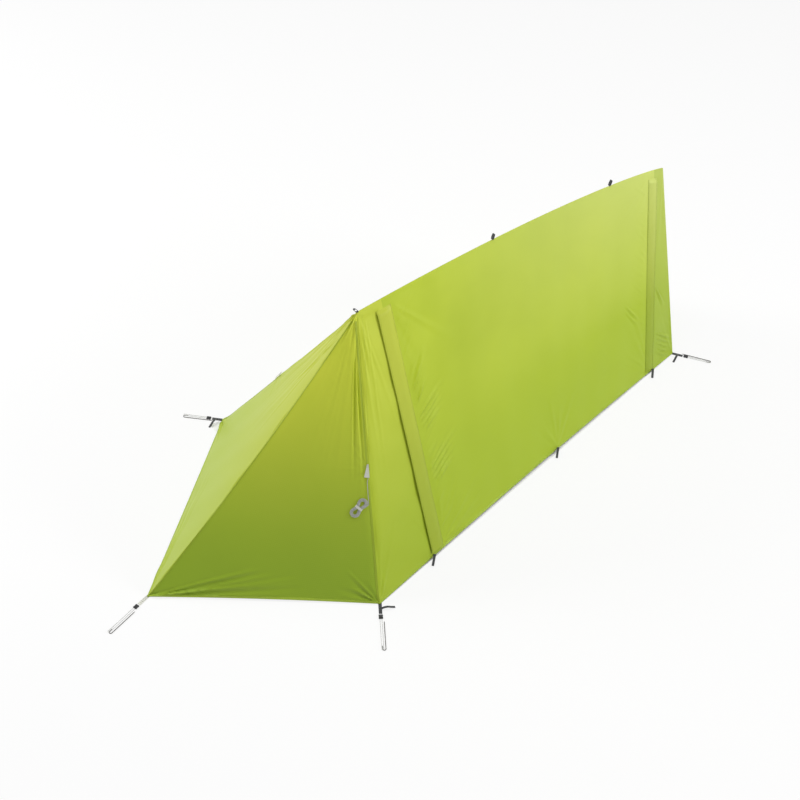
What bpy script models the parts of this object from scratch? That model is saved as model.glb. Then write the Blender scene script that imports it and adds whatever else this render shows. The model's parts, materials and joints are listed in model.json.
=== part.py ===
# Long single-walled backpacking tent with a pointed front nose and a roll-up side door.
# Metres, +Z up. The ridge runs along X with the nose at -X, the side door faces -Y,
# and the origin is on the ground under the middle of the sleeping body.

import math

import bmesh
import bpy
from mathutils import Matrix, Vector
from mathutils.bvhtree import BVHTree

# Canopy: plan and heights
BODY_LENGTH = 2.30
NOSE_REACH = 0.826
FRONT_WIDTH = 1.344
REAR_WIDTH = 0.640
FRONT_PEAK_SETBACK = 0.368
FRONT_PEAK_HEIGHT = 1.098
REAR_PEAK_HEIGHT = 1.030
RIDGE_RISE = 0.060
RIDGE_SKEW = 1.25
RIDGE_FULLNESS = 0.75

# How far the far front corner is pegged back and out from the near one's mirror image
FAR_CORNER_BACK = 0.073
FAR_CORNER_OUT = 0.058

# Canopy: cloth, hems and seams
CLOTH = 0.0010
SEAM_PLAY = 0.0003
HEM_CLEARANCE = 0.0028
HEM_LIFT = 0.008
HEM_DRAW = 0.012
NOSE_HEM_DRAW = 0.005
WALL_SAG = 0.012

# Side door, its two zips and the storm flaps over them
FRONT_ZIP_AT_RIDGE = 0.500
FRONT_ZIP_AT_HEM = 0.400
REAR_ZIP_AT_RIDGE = 0.066
REAR_ZIP_AT_HEM = 0.205
DOOR_TOP_DROP = 0.030
DOOR_CORNER_EASE = 0.0030
FLAP_SEWN = 0.045
FRONT_FLAP_OVERLAP = 0.040
REAR_FLAP_OVERLAP = 0.015
FLAP_STAND = 0.0080
FLAP_CLOTH = 0.0010
ZIP_WIDTH = 0.0040
ZIP_THICKNESS = 0.0016
ZIP_SET_BACK = 0.0050
SLIDER_LENGTH = 0.012
SLIDER_WIDTH = 0.0066
SLIDER_HEIGHT = 0.0030
PULL_LENGTH = 0.022
SLIDER_REST = 0.050
ZIP_TOP_GAP = 0.024
ZIP_FOOT_GAP = 0.029
FLAP_TOP_GAP = 0.014
FLAP_FOOT_GAP = 0.018

# Poles and their hubs
RIDGE_POLE_DIAMETER = 0.0090
RIDGE_POLE_PLAY = 0.0005
UPRIGHT_DIAMETER = 0.0120
UPRIGHT_TOP_DIAMETER = 0.0100
COLLAR_DIAMETER = 0.0156
COLLAR_LENGTH = 0.050
LOWER_SECTION_SHARE = 0.55
FRONT_UPRIGHT_INSET = 0.045
REAR_UPRIGHT_INSET = 0.065
HUB_DIAMETER = 0.0150
HUB_SOCKET_DEPTH = 0.032
HUB_NECK = 0.010
HUB_HEAD_LENGTH = 0.030

# Bathtub floor
FLOOR_CLOTH = 0.0012
FLOOR_INSET = 0.055
FLOOR_END_INSET = 0.036
FLOOR_WALL_HEIGHT = 0.080
FLOOR_TOP_INSET = 0.030
FLOOR_CORNER_RADIUS = 0.050
FLOOR_RUN = 0.25
FLOOR_RINGS = (0.16, 0.38, 0.60, 0.82)
FLOOR_PUCKER = 0.0006

# Ground tie-outs: webbing tab, cord loop, line tensioner and peg
WEBBING_WIDTH = 0.016
WEBBING_THICKNESS = 0.0020
WEBBING_LENGTH = 0.055
WEBBING_ROOT = 0.018
TAIL_WIDTH = 0.011
TAIL_THICKNESS = 0.0016
CORD_DIAMETER = 0.0022
CORD_HEIGHT = 0.0036
CORD_SPACING = 0.0092
TENSIONER_WIDTH = 0.020
TENSIONER_HEIGHT = 0.0068
TENSIONER_LENGTH = 0.022
TENSIONER_OFFSET = 0.006
PEG_DIAMETER = 0.0040
PEG_LENGTH = 0.150
PEG_SIDE_STEP = 0.0140

# Small webbing loops
LOOP_WALL = 0.0014
LOOP_WIDTH = 0.011
LOOP_LENGTH = 0.066
LOOP_SWING = 0.85
RIDGE_LOOP_LENGTH = 0.032
LOOP_HEIGHT = 0.0120

# Seam tie-outs and the guy line bundled on the near one
SEAM_TAB_AT = 0.510
SEAM_TAB_LENGTH = 0.060
SEAM_TAB_WIDTH = 0.026
GUY_DIAMETER = 0.0028
GUY_PITCH = 0.0034
HANK_LOOPS = 8
HANK_LAYERS = 2
HANK_RUN = 0.056
HANK_INNER_RADIUS = 0.0095
HANK_CLIMB = 0.30
HANK_DROP = 0.086
HANK_SIDE_STEP = 0.051
HANK_TILT = 0.95
LOOP_POINTS = 24

CLEARANCE = 0.0003
STATIONS_PER_SIDE_PANEL = 2
STATIONS_PER_DOOR = 14
ROWS = 7
NOSE_COLUMNS = 6
REAR_COLUMNS = 4

FRONT_X = -BODY_LENGTH / 2
REAR_X = BODY_LENGTH / 2
NOSE_X = FRONT_X - NOSE_REACH
PEAK_X = FRONT_X + FRONT_PEAK_SETBACK
NEAR = -1
FAR = 1
INSIDE = Vector((-0.4, 0.0, 0.35))

for leftover in list(bpy.data.objects):
    bpy.data.objects.remove(leftover, do_unlink=True)


# Materials

def finish(name, colour, roughness, metallic=0.0):
    material = bpy.data.materials.new(name)
    material.use_nodes = True
    shader = material.node_tree.nodes["Principled BSDF"]
    shader.inputs["Base Color"].default_value = (*colour, 1.0)
    shader.inputs["Roughness"].default_value = roughness
    shader.inputs["Metallic"].default_value = metallic
    return material


FLY = finish("lime_coated_ripstop", (0.42, 0.56, 0.05), 0.45)
FLOOR_FINISH = finish("grey_coated_floor_cloth", (0.16, 0.17, 0.18), 0.55)
WEBBING = finish("charcoal_webbing", (0.05, 0.05, 0.06), 0.80)
REFLECTIVE = finish("pale_grey_reflective_cord", (0.62, 0.63, 0.62), 0.60)
ZIP_FINISH = finish("olive_coil_zip", (0.12, 0.16, 0.03), 0.50)
PLASTIC = finish("black_acetal", (0.02, 0.02, 0.02), 0.40)
POLE_FINISH = finish("anodised_pole_tube", (0.30, 0.31, 0.33), 0.35, 1.0)
PEG_FINISH = finish("titanium_wire", (0.42, 0.42, 0.43), 0.35, 1.0)


# Mesh helpers

def mesh_object(name, vertices, faces, material, smooth=False):
    mesh = bpy.data.meshes.new(name)
    mesh.from_pydata([tuple(v) for v in vertices], [], faces)
    mesh.update()
    item = bpy.data.objects.new(name, mesh)
    bpy.context.collection.objects.link(item)
    mesh.materials.append(material)
    if smooth:
        mesh.shade_smooth()
        mesh.set_sharp_from_angle(angle=math.radians(40))
    return item


def object_from_bmesh(name, bm, material, smooth=False):
    bmesh.ops.recalc_face_normals(bm, faces=bm.faces)
    mesh = bpy.data.meshes.new(name)
    bm.to_mesh(mesh)
    bm.free()
    item = bpy.data.objects.new(name, mesh)
    bpy.context.collection.objects.link(item)
    mesh.materials.append(material)
    if smooth:
        mesh.shade_smooth()
        mesh.set_sharp_from_angle(angle=math.radians(40))
    return item


def slab(name, lower, upper, material):
    # A closed sheet between two grids of points that have the same rows and columns
    rows = len(lower)
    columns = len(lower[0])
    vertices = [p for row in upper for p in row] + [p for row in lower for p in row]
    shift = rows * columns
    faces = []
    for r in range(rows - 1):
        for c in range(columns - 1):
            a = r * columns + c
            b = a + 1
            d = a + columns
            e = d + 1
            faces += [(a, b, e), (a, e, d)]
            faces += [(shift + a, shift + e, shift + b), (shift + a, shift + d, shift + e)]
    rim = [(0, c) for c in range(columns)]
    rim += [(r, columns - 1) for r in range(1, rows)]
    rim += [(rows - 1, c) for c in range(columns - 2, -1, -1)]
    rim += [(r, 0) for r in range(rows - 2, 0, -1)]
    rim = [r * columns + c for r, c in rim]
    for one, two in zip(rim, rim[1:] + rim[:1]):
        faces.append((two, one, shift + one, shift + two))
    item = mesh_object(name, vertices, faces, material)
    bm = bmesh.new()
    bm.from_mesh(item.data)
    bmesh.ops.recalc_face_normals(bm, faces=bm.faces)
    bm.to_mesh(item.data)
    bm.free()
    return item


def tube(name, points, radius, material, sides=2, taper=None):
    # A round bar along the points; taper gives a share of the radius at each end
    curve = bpy.data.curves.new(name, "CURVE")
    curve.dimensions = "3D"
    curve.bevel_depth = radius
    curve.bevel_resolution = sides
    curve.use_fill_caps = True
    curve.render_resolution_u = 0
    spline = curve.splines.new("POLY")
    spline.points.add(len(points) - 1)
    for spot, point in zip(spline.points, points):
        spot.co = (*point, 1.0)
    if taper:
        spline.points[0].radius = taper[0]
        spline.points[-1].radius = taper[1]
    curve.materials.append(material)
    item = bpy.data.objects.new(name, curve)
    bpy.context.collection.objects.link(item)
    return item


def smooth_route(knots, step):
    # Evenly stepped points on a smooth curve through the knots
    ends = [knots[0] * 2 - knots[1]] + list(knots) + [knots[-1] * 2 - knots[-2]]
    points = []
    for one, two, three, four in zip(ends, ends[1:], ends[2:], ends[3:]):
        count = max(2, round((three - two).length / step))
        for k in range(count):
            t = k / count
            points.append(0.5 * (2 * two + (three - one) * t
                                 + (2 * one - 5 * two + 4 * three - four) * t ** 2
                                 + (3 * two - one - 3 * three + four) * t ** 3))
    points.append(knots[-1])
    return points


def turned(name, profile, material, segments=20):
    # A solid of revolution about Z; the profile runs from the axis and back to it
    bm = bmesh.new()
    rings = []
    for radius, height in profile:
        if radius < 1e-7:
            rings.append([bm.verts.new((0.0, 0.0, height))])
            continue
        turns = [2 * math.pi * k / segments for k in range(segments)]
        rings.append([bm.verts.new((radius * math.cos(a), radius * math.sin(a), height)) for a in turns])
    for low, high in zip(rings, rings[1:]):
        for k in range(segments):
            n = (k + 1) % segments
            if len(low) == 1:
                bm.faces.new((low[0], high[n], high[k]))
            elif len(high) == 1:
                bm.faces.new((low[k], low[n], high[0]))
            else:
                bm.faces.new((low[k], low[n], high[n], high[k]))
    return object_from_bmesh(name, bm, material, smooth=True)


def prism(name, outline, holes, start, end, material, place=None):
    # An outline with holes in the YZ plane, drawn out along X from start to end
    bm = bmesh.new()
    for loop in [outline] + holes:
        corners = [bm.verts.new((start, y, z)) for y, z in loop]
        for one, two in zip(corners, corners[1:] + corners[:1]):
            bm.edges.new((one, two))
    filled = bmesh.ops.triangle_fill(bm, use_beauty=True, edges=bm.edges[:])
    cap = [f for f in filled["geom"] if isinstance(f, bmesh.types.BMFace)]
    drawn = bmesh.ops.extrude_face_region(bm, geom=cap)
    moved = [v for v in drawn["geom"] if isinstance(v, bmesh.types.BMVert)]
    bmesh.ops.translate(bm, verts=moved, vec=(end - start, 0.0, 0.0))
    item = object_from_bmesh(name, bm, material)
    if place:
        item.matrix_world = place
    return item


def circle(centre_y, centre_z, radius, count):
    turns = [2 * math.pi * k / count for k in range(count)]
    return [(centre_y + radius * math.cos(a), centre_z + radius * math.sin(a)) for a in turns]


def rounded_box(low_y, low_z, high_y, high_z, radius, steps=3):
    corners = ((high_y - radius, high_z - radius, 0), (low_y + radius, high_z - radius, 1),
               (low_y + radius, low_z + radius, 2), (high_y - radius, low_z + radius, 3))
    points = []
    for y, z, quarter in corners:
        for k in range(steps + 1):
            turn = (quarter + k / steps) * math.pi / 2
            points.append((y + radius * math.cos(turn), z + radius * math.sin(turn)))
    return points


def joined_to(item, tool, operation):
    # The tool stays as a hidden guide, and the Boolean on the item does the work
    tool.hide_render = True
    tool.display_type = "WIRE"
    step = item.modifiers.new(operation.lower(), "BOOLEAN")
    step.operation = operation
    step.object = tool
    step.solver = "EXACT"


def frame_at(origin, forward, up):
    # A placement whose X runs forward and whose Z is as near to up as it can be
    x = forward.normalized()
    y = up.cross(x).normalized()
    z = x.cross(y)
    turn = Matrix((x, y, z)).transposed().to_4x4()
    return Matrix.Translation(origin) @ turn


# Canopy surface: a ruled wall from the arched ridge down to the hem on either side

def half_width(x):
    share = (x - FRONT_X) / BODY_LENGTH
    return (FRONT_WIDTH + (REAR_WIDTH - FRONT_WIDTH) * share) / 2


def ridge_point(x):
    share = (x - PEAK_X) / (REAR_X - PEAK_X)
    height = FRONT_PEAK_HEIGHT + (REAR_PEAK_HEIGHT - FRONT_PEAK_HEIGHT) * share
    # The arch is fuller than a parabola and leans a little to the rear
    leant = min(max(share, 0.0), 1.0) ** RIDGE_SKEW
    return Vector((x, 0.0, height + RIDGE_RISE * (4 * leant * (1 - leant)) ** RIDGE_FULLNESS))


def hem_point(x, side):
    share = (x - FRONT_X) / BODY_LENGTH
    arc = 4 * share * (1 - share)
    out = half_width(x) - HEM_DRAW * arc
    if side == FAR:
        x += FAR_CORNER_BACK * (1 - share)
        out += FAR_CORNER_OUT * (1 - share)
    return Vector((x, side * out, HEM_CLEARANCE + HEM_LIFT * arc))


# Each ruling is where a straight line leaves the ridge and where it meets the hem.
# Ruling 0 is the front seam, 1 the front zip, 2 the rear zip and 3 the rear seam.
RULINGS = (
    (PEAK_X, FRONT_X),
    (FRONT_X + FRONT_ZIP_AT_RIDGE, FRONT_X + FRONT_ZIP_AT_HEM),
    (REAR_X - REAR_ZIP_AT_RIDGE, REAR_X - REAR_ZIP_AT_HEM),
    (REAR_X, REAR_X),
)


def ruling(s):
    first = min(int(s), 2)
    share = s - first
    low, high = RULINGS[first], RULINGS[first + 1]
    return low[0] + (high[0] - low[0]) * share, low[1] + (high[1] - low[1]) * share


def straight_wall(s, v, side):
    ridge_x, hem_x = ruling(s)
    return ridge_point(ridge_x).lerp(hem_point(hem_x, side), v)


def drop_share(s, drop):
    ridge_x, hem_x = ruling(s)
    return drop / (ridge_point(ridge_x) - hem_point(hem_x, NEAR)).length


DOOR_TOP_FRONT = drop_share(1, DOOR_TOP_DROP)
DOOR_TOP_REAR = drop_share(2, DOOR_TOP_DROP)


def door_top(s):
    # The door's top edge is level with a straight line between its two top corners
    if s <= 1:
        return DOOR_TOP_FRONT
    if s >= 2:
        return DOOR_TOP_REAR
    low = straight_wall(1, DOOR_TOP_FRONT, NEAR).z
    high = straight_wall(2, DOOR_TOP_REAR, NEAR).z
    ridge_x, hem_x = ruling(s)
    crest = ridge_point(ridge_x).z
    return (crest - (low + (high - low) * (s - 1))) / (crest - hem_point(hem_x, NEAR).z)


def row_shares(s):
    top = door_top(s)
    return [0.0] + [top + (1 - top) * k / (ROWS - 1) for k in range(ROWS)]


def near_wall(s, v):
    point = straight_wall(s, v, NEAR)
    if 1 < s < 2:
        point.y += WALL_SAG * math.sin(math.pi * (s - 1)) * math.sin(math.pi * v) ** 2
    return point


def far_wall(s, v):
    point = straight_wall(s, v, FAR)
    point.y -= WALL_SAG * math.sin(math.pi * s / 3) * math.sin(math.pi * v) ** 2
    return point


def near_normal(s, v):
    step = 0.001
    along = near_wall(s + step, v) - near_wall(s - step, v)
    down = near_wall(s, v + step) - near_wall(s, v - step)
    normal = along.cross(down).normalized()
    return normal if normal.y < 0 else -normal


def beside(key, distance, v):
    # The ruling that lies a distance along X from a key ruling, at this share of its fall
    panel = key if distance >= 0 else key - 1
    panel = min(max(panel, 0), 2)
    low, high = RULINGS[panel], RULINGS[panel + 1]
    width = (high[0] - low[0]) * (1 - v) + (high[1] - low[1]) * v
    return key + distance / width


DOOR_SPAN = RULINGS[2][1] - RULINGS[1][1]
SEAM_STATION = FLAP_SEWN / DOOR_SPAN

side_stations = [k / STATIONS_PER_SIDE_PANEL for k in range(STATIONS_PER_SIDE_PANEL + 1)]
door_inner = [1 + SEAM_STATION + (1 - 2 * SEAM_STATION) * k / STATIONS_PER_DOOR
              for k in range(STATIONS_PER_DOOR + 1)]
door_stations = [1.0] + door_inner + [2.0]
rear_stations = [2 + k / STATIONS_PER_SIDE_PANEL for k in range(STATIONS_PER_SIDE_PANEL + 1)]
all_stations = side_stations[:-1] + door_stations + rear_stations[1:]

NOSE = Vector((NOSE_X, 0.0, HEM_CLEARANCE))


def nose_grid(side):
    # From the front seam across to the fold that runs from the peak to the nose
    inward = Vector((NOSE_REACH, 0, 0)) - Vector((0, side * FRONT_WIDTH / 2, 0))
    inward.normalize()
    grid = []
    for v in row_shares(0):
        seam = straight_wall(0, v, side)
        fold = ridge_point(PEAK_X).lerp(NOSE, v)
        row = []
        for c in range(NOSE_COLUMNS + 1):
            share = c / NOSE_COLUMNS
            arc = 4 * share * (1 - share) * v ** 6
            point = seam.lerp(fold, share)
            point += inward * NOSE_HEM_DRAW * arc
            point.z += HEM_LIFT * arc
            row.append(point)
        grid.append(row)
    return grid


def rear_grid():
    grid = []
    for v in row_shares(3):
        row = []
        for c in range(REAR_COLUMNS + 1):
            share = c / REAR_COLUMNS
            point = straight_wall(3, v, NEAR).lerp(straight_wall(3, v, FAR), share)
            point.z += HEM_LIFT * 4 * share * (1 - share) * v ** 6
            row.append(point)
        grid.append(row)
    return grid


def wall_grid(surface, stations, rows):
    picked = []
    for index in rows:
        picked.append([surface(s, row_shares(s)[index]) for s in stations])
    return picked


every_row = range(ROWS + 1)
PANELS = {
    "near_nose_panel": nose_grid(NEAR),
    "far_nose_panel": nose_grid(FAR),
    "front_side_panel": wall_grid(near_wall, side_stations, every_row),
    "ridge_strip": wall_grid(near_wall, door_stations, (0, 1)),
    "side_door": wall_grid(near_wall, door_stations, range(1, ROWS + 1)),
    "rear_side_panel": wall_grid(near_wall, rear_stations, every_row),
    "far_wall": wall_grid(far_wall, all_stations, every_row),
    "rear_wall": rear_grid(),
}


def spot(point):
    return tuple(round(c * 1e6) for c in point)


def panel_surface(grid):
    # Points without repeats, and triangles that all face out of the tent
    index = {}
    points = []
    for row in grid:
        for point in row:
            if spot(point) not in index:
                index[spot(point)] = len(points)
                points.append(point)
    triangles = []
    for upper, lower in zip(grid, grid[1:]):
        for c in range(len(upper) - 1):
            a, b = index[spot(upper[c])], index[spot(upper[c + 1])]
            d, e = index[spot(lower[c])], index[spot(lower[c + 1])]
            for triangle in ((a, b, e), (a, e, d)):
                if len(set(triangle)) == 3:
                    triangles.append(triangle)
    one, two, three = (points[k] for k in triangles[len(triangles) // 2])
    if (two - one).cross(three - one).dot(one - INSIDE) < 0:
        triangles = [tuple(reversed(t)) for t in triangles]
    return points, triangles


def point_normals(points, triangles):
    normals = [Vector() for _ in points]
    for a, b, c in triangles:
        area = (points[b] - points[a]).cross(points[c] - points[a])
        for k in (a, b, c):
            normals[k] += area
    return [n.normalized() for n in normals]


SURFACES = {name: panel_surface(grid) for name, grid in PANELS.items()}
NEAR_WALL_PANELS = ("front_side_panel", "ridge_strip", "side_door", "rear_side_panel")
SEAM_NORMALS = {}
for name, (points, triangles) in SURFACES.items():
    wall = "near_wall" if name in NEAR_WALL_PANELS else name
    for point, normal in zip(points, point_normals(points, triangles)):
        walls = SEAM_NORMALS.setdefault(spot(point), {})
        walls[wall] = walls.get(wall, Vector()) + normal


def seam_normal(point):
    # Each wall counts once at a seam, however many of its panels meet there
    total = Vector()
    for normal in SEAM_NORMALS[spot(point)].values():
        total += normal.normalized()
    return total.normalized()


def edge_steps(points, triangles):
    # How far each rim point moves into its own panel, so that neighbours stay apart
    owners = {}
    for triangle in triangles:
        for one, two in zip(triangle, triangle[1:] + triangle[:1]):
            owners.setdefault(frozenset((one, two)), []).append((one, two, triangle))
    rim = [found[0] for found in owners.values() if len(found) == 1]
    inward = {}
    for one, two, (a, b, c) in rim:
        normal = (points[b] - points[a]).cross(points[c] - points[a]).normalized()
        step = normal.cross(points[two] - points[one]).normalized()
        inward.setdefault(one, []).append(step)
        inward.setdefault(two, []).append(step)
    steps = {}
    for k, (first, second) in inward.items():
        steps[k] = SEAM_PLAY * (first + second) / max(1 + first.dot(second), 0.08)
    return rim, steps


def cloth_panel(name, eased=None):
    # Eased points of the rim are held back by more than the play that every seam has
    eased = eased or {}
    points, triangles = SURFACES[name]
    own = point_normals(points, triangles)
    rim, steps = edge_steps(points, triangles)
    outer = []
    inner = []
    for k, point in enumerate(points):
        shared = seam_normal(point)
        mitre = CLOTH / max(shared.dot(own[k]), 0.4)
        step = steps.get(k, Vector()) + eased.get(spot(point), Vector())
        outer.append(point + step)
        inner.append(point - shared * mitre + step)
    shift = len(points)
    faces = list(triangles)
    faces += [(c + shift, b + shift, a + shift) for a, b, c in triangles]
    for one, two, _ in rim:
        faces.append((two, one, one + shift, two + shift))
    return mesh_object(name, outer + inner, faces, FLY)


for panel_name in PANELS:
    if panel_name != "side_door":
        cloth_panel(panel_name)


# The door turns about a level line outside its top edge, so that the edge never digs in

door_edge = [near_wall(s, door_top(s)) for s in door_stations]
hinge_run = (door_edge[-1] - door_edge[0]).normalized()
hinge_outermost = min(p.y - door_edge[0].y - hinge_run.y * (p.x - door_edge[0].x) for p in door_edge)
hinge_middle = (door_edge[0] + door_edge[-1]) / 2 + Vector((0, hinge_outermost - CLEARANCE, 0))

door_hinge = bpy.data.objects.new("door_hinge", None)
door_hinge.empty_display_size = 0.1
door_hinge.matrix_world = frame_at(hinge_middle, hinge_run, Vector((0, 0, 1)))
bpy.context.collection.objects.link(door_hinge)
bpy.context.view_layer.update()


def hang_on_door(item):
    item.parent = door_hinge
    item.matrix_parent_inverse = door_hinge.matrix_world.inverted()


# The door's top rear corner swings down along the slanting rear zip, so it is held back
hang_on_door(cloth_panel("side_door", {spot(door_edge[-1]): Vector((-DOOR_CORNER_EASE, 0, 0))}))


# Storm flaps: sewn to the door behind each zip and standing clear over the zip

def storm_flap(name, key, toward_door, overlap):
    reaches = ((FLAP_SEWN, CLEARANCE), (FLAP_SEWN * 0.72, FLAP_STAND * 0.42), (FLAP_SEWN * 0.40, FLAP_STAND * 0.86),
               (0.0, FLAP_STAND), (-overlap * 0.6, FLAP_STAND), (-overlap, FLAP_STAND * 0.94))
    lower = []
    upper = []
    rows = 9
    top = door_top(key) + drop_share(key, FLAP_TOP_GAP)
    foot = 1 - drop_share(key, FLAP_FOOT_GAP)
    for r in range(rows):
        v = top + (foot - top) * r / (rows - 1)
        low_row = []
        high_row = []
        for reach, stand in reaches:
            s = beside(key, reach * toward_door, v)
            normal = near_normal(s, v)
            base = near_wall(s, v) + normal * (stand + CLEARANCE)
            low_row.append(base)
            high_row.append(base + normal * FLAP_CLOTH)
        lower.append(low_row)
        upper.append(high_row)
    hang_on_door(slab(name, lower, upper, FLY))


storm_flap("front_zip_flap", 1, 1, FRONT_FLAP_OVERLAP)
storm_flap("rear_zip_flap", 2, -1, REAR_FLAP_OVERLAP)


# Coil zips on the fixed panels, and the sliders that run on them

ZIP_LIFT = 0.0006


def zip_ends(key):
    # Where the chain starts below the door's top edge and stops above the hem
    return door_top(key) + drop_share(key, ZIP_TOP_GAP), 1 - drop_share(key, ZIP_FOOT_GAP)


def zip_chain(name, key, away):
    lower = []
    upper = []
    rows = 9
    top, foot = zip_ends(key)
    for r in range(rows):
        v = top + (foot - top) * r / (rows - 1)
        low_row = []
        high_row = []
        for reach in (ZIP_SET_BACK - ZIP_WIDTH / 2, ZIP_SET_BACK + ZIP_WIDTH / 2):
            s = beside(key, reach * away, v)
            normal = near_normal(s, v)
            base = near_wall(s, v) + normal * ZIP_LIFT
            low_row.append(base)
            high_row.append(base + normal * ZIP_THICKNESS)
        lower.append(low_row)
        upper.append(high_row)
    slab(name, lower, upper, ZIP_FINISH)


def zip_slider(name, key, away):
    top, foot = zip_ends(key)
    rest = foot - drop_share(key, SLIDER_REST)
    s = beside(key, ZIP_SET_BACK * away, rest)
    here = near_wall(s, rest)
    above = near_wall(beside(key, ZIP_SET_BACK * away, top), top)
    place = frame_at(here, above - here, near_normal(s, rest))
    low = ZIP_LIFT + ZIP_THICKNESS + 0.0005
    high = low + SLIDER_HEIGHT
    bm = bmesh.new()
    half = SLIDER_LENGTH / 2
    side_view = ((half, low), (half - 0.002, high), (-half + 0.002, high), (-half, high - 0.0008),
                 (-half - PULL_LENGTH, high - 0.0012), (-half - PULL_LENGTH, high - 0.0024),
                 (-half, high - 0.0022), (-half, low))
    pull_share = 0.62
    near_side = []
    far_side = []
    for x, z in side_view:
        width = SLIDER_WIDTH / 2 * (pull_share if x < -half - 1e-6 else 1.0)
        near_side.append(bm.verts.new((x, -width, z)))
        far_side.append(bm.verts.new((x, width, z)))
    bm.faces.new(near_side)
    bm.faces.new(list(reversed(far_side)))
    for k in range(len(side_view)):
        n = (k + 1) % len(side_view)
        bm.faces.new((near_side[k], far_side[k], far_side[n], near_side[n]))
    item = object_from_bmesh(name, bm, PLASTIC)
    item.matrix_world = place
    print("slider", name, "at", tuple(round(c, 5) for c in here),
          "runs along", tuple(round(c, 5) for c in (above - here).normalized()),
          "for", round((above - here).length, 4))


zip_chain("front_zip_chain", 1, -1)
zip_chain("rear_zip_chain", 2, 1)
zip_slider("front_zip_slider", 1, -1)
zip_slider("rear_zip_slider", 2, 1)


# Ridge pole in two sections, carried by a hub on each upright

def wall_angle(x):
    # Half the angle between the two walls where a ruling leaves the ridge at x
    key = 0
    while key < 2 and x > RULINGS[key + 1][0]:
        key += 1
    share = (x - RULINGS[key][0]) / (RULINGS[key + 1][0] - RULINGS[key][0])
    hem_x = RULINGS[key][1] + (RULINGS[key + 1][1] - RULINGS[key][1]) * share
    fall = ridge_point(x).z - hem_point(hem_x, NEAR).z
    return math.atan2(-hem_point(hem_x, NEAR).y, fall)


def pole_axis(x):
    reach = RIDGE_POLE_DIAMETER / 2 + CLOTH + RIDGE_POLE_PLAY
    return ridge_point(x) - Vector((0, 0, reach / math.sin(wall_angle(x))))


FRONT_UPRIGHT_X = PEAK_X + FRONT_UPRIGHT_INSET
REAR_UPRIGHT_X = REAR_X - REAR_UPRIGHT_INSET
JOIN_X = (FRONT_UPRIGHT_X + REAR_UPRIGHT_X) / 2
POLE_STEPS = 14
head_half = HUB_HEAD_LENGTH / 2


def pole_points(start, end):
    return [pole_axis(start + (end - start) * k / POLE_STEPS) for k in range(POLE_STEPS + 1)]


tube("ridge_pole_front", pole_points(FRONT_UPRIGHT_X + head_half + CLEARANCE, JOIN_X - CLEARANCE / 2),
     RIDGE_POLE_DIAMETER / 2, POLE_FINISH)
tube("ridge_pole_rear", pole_points(JOIN_X + CLEARANCE / 2, REAR_UPRIGHT_X - head_half - CLEARANCE),
     RIDGE_POLE_DIAMETER / 2, POLE_FINISH)


def hub(name, x):
    # A short horizontal head in line with the ridge pole over a socket for the upright
    axis = pole_axis(x)
    radius = HUB_DIAMETER / 2
    neck = RIDGE_POLE_DIAMETER * 0.42
    bore = UPRIGHT_TOP_DIAMETER / 2 + CLEARANCE
    length = HUB_NECK + HUB_SOCKET_DEPTH + 0.004
    profile = ((0, 0), (neck, 0), (neck, -HUB_NECK * 0.7), (radius * 0.9, -HUB_NECK), (radius, -HUB_NECK - 0.002),
               (radius, -length), (bore, -length), (bore, HUB_SOCKET_DEPTH - length), (0, HUB_SOCKET_DEPTH - length))
    body = turned(name, tuple(reversed(profile)), PLASTIC)
    body.location = axis
    run = pole_axis(x + head_half) - pole_axis(x - head_half)
    bm = bmesh.new()
    bmesh.ops.create_cone(bm, cap_ends=True, segments=16, radius1=RIDGE_POLE_DIAMETER / 2,
                          radius2=RIDGE_POLE_DIAMETER / 2, depth=HUB_HEAD_LENGTH)
    head = object_from_bmesh(name + "_head", bm, PLASTIC)
    head.matrix_world = Matrix.Translation(axis) @ run.to_track_quat("Z", "Y").to_matrix().to_4x4()
    joined_to(body, head, "UNION")
    return axis.z - length + HUB_SOCKET_DEPTH - CLEARANCE


def upright(prefix, x, top):
    # The upper section slides down inside the lower section's collar
    foot = FLOOR_CLOTH + CLEARANCE
    join = foot + (top - foot) * LOWER_SECTION_SHARE
    radius = UPRIGHT_DIAMETER / 2
    collar = COLLAR_DIAMETER / 2
    slim = UPRIGHT_TOP_DIAMETER / 2
    bore = slim + CLEARANCE
    lower = ((0, foot), (radius * 0.6, foot), (radius, foot + 0.012), (radius, join - COLLAR_LENGTH - 0.004),
             (collar, join - COLLAR_LENGTH), (collar, join - 0.002), (collar - 0.001, join), (bore, join),
             (bore, join - COLLAR_LENGTH), (0, join - COLLAR_LENGTH))
    turned(prefix + "_pole_lower", lower, POLE_FINISH).location = (x, 0, 0)
    start = join - COLLAR_LENGTH + CLEARANCE
    upper = ((0, start), (slim, start), (slim, top - 0.003), (slim - 0.0015, top), (0, top))
    turned(prefix + "_pole_upper", upper, POLE_FINISH).location = (x, 0, 0)


upright("front", FRONT_UPRIGHT_X, hub("front_hub", FRONT_UPRIGHT_X))
upright("rear", REAR_UPRIGHT_X, hub("rear_hub", REAR_UPRIGHT_X))


# Bathtub floor: a shallow tray of coated cloth with rounded corners

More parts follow.
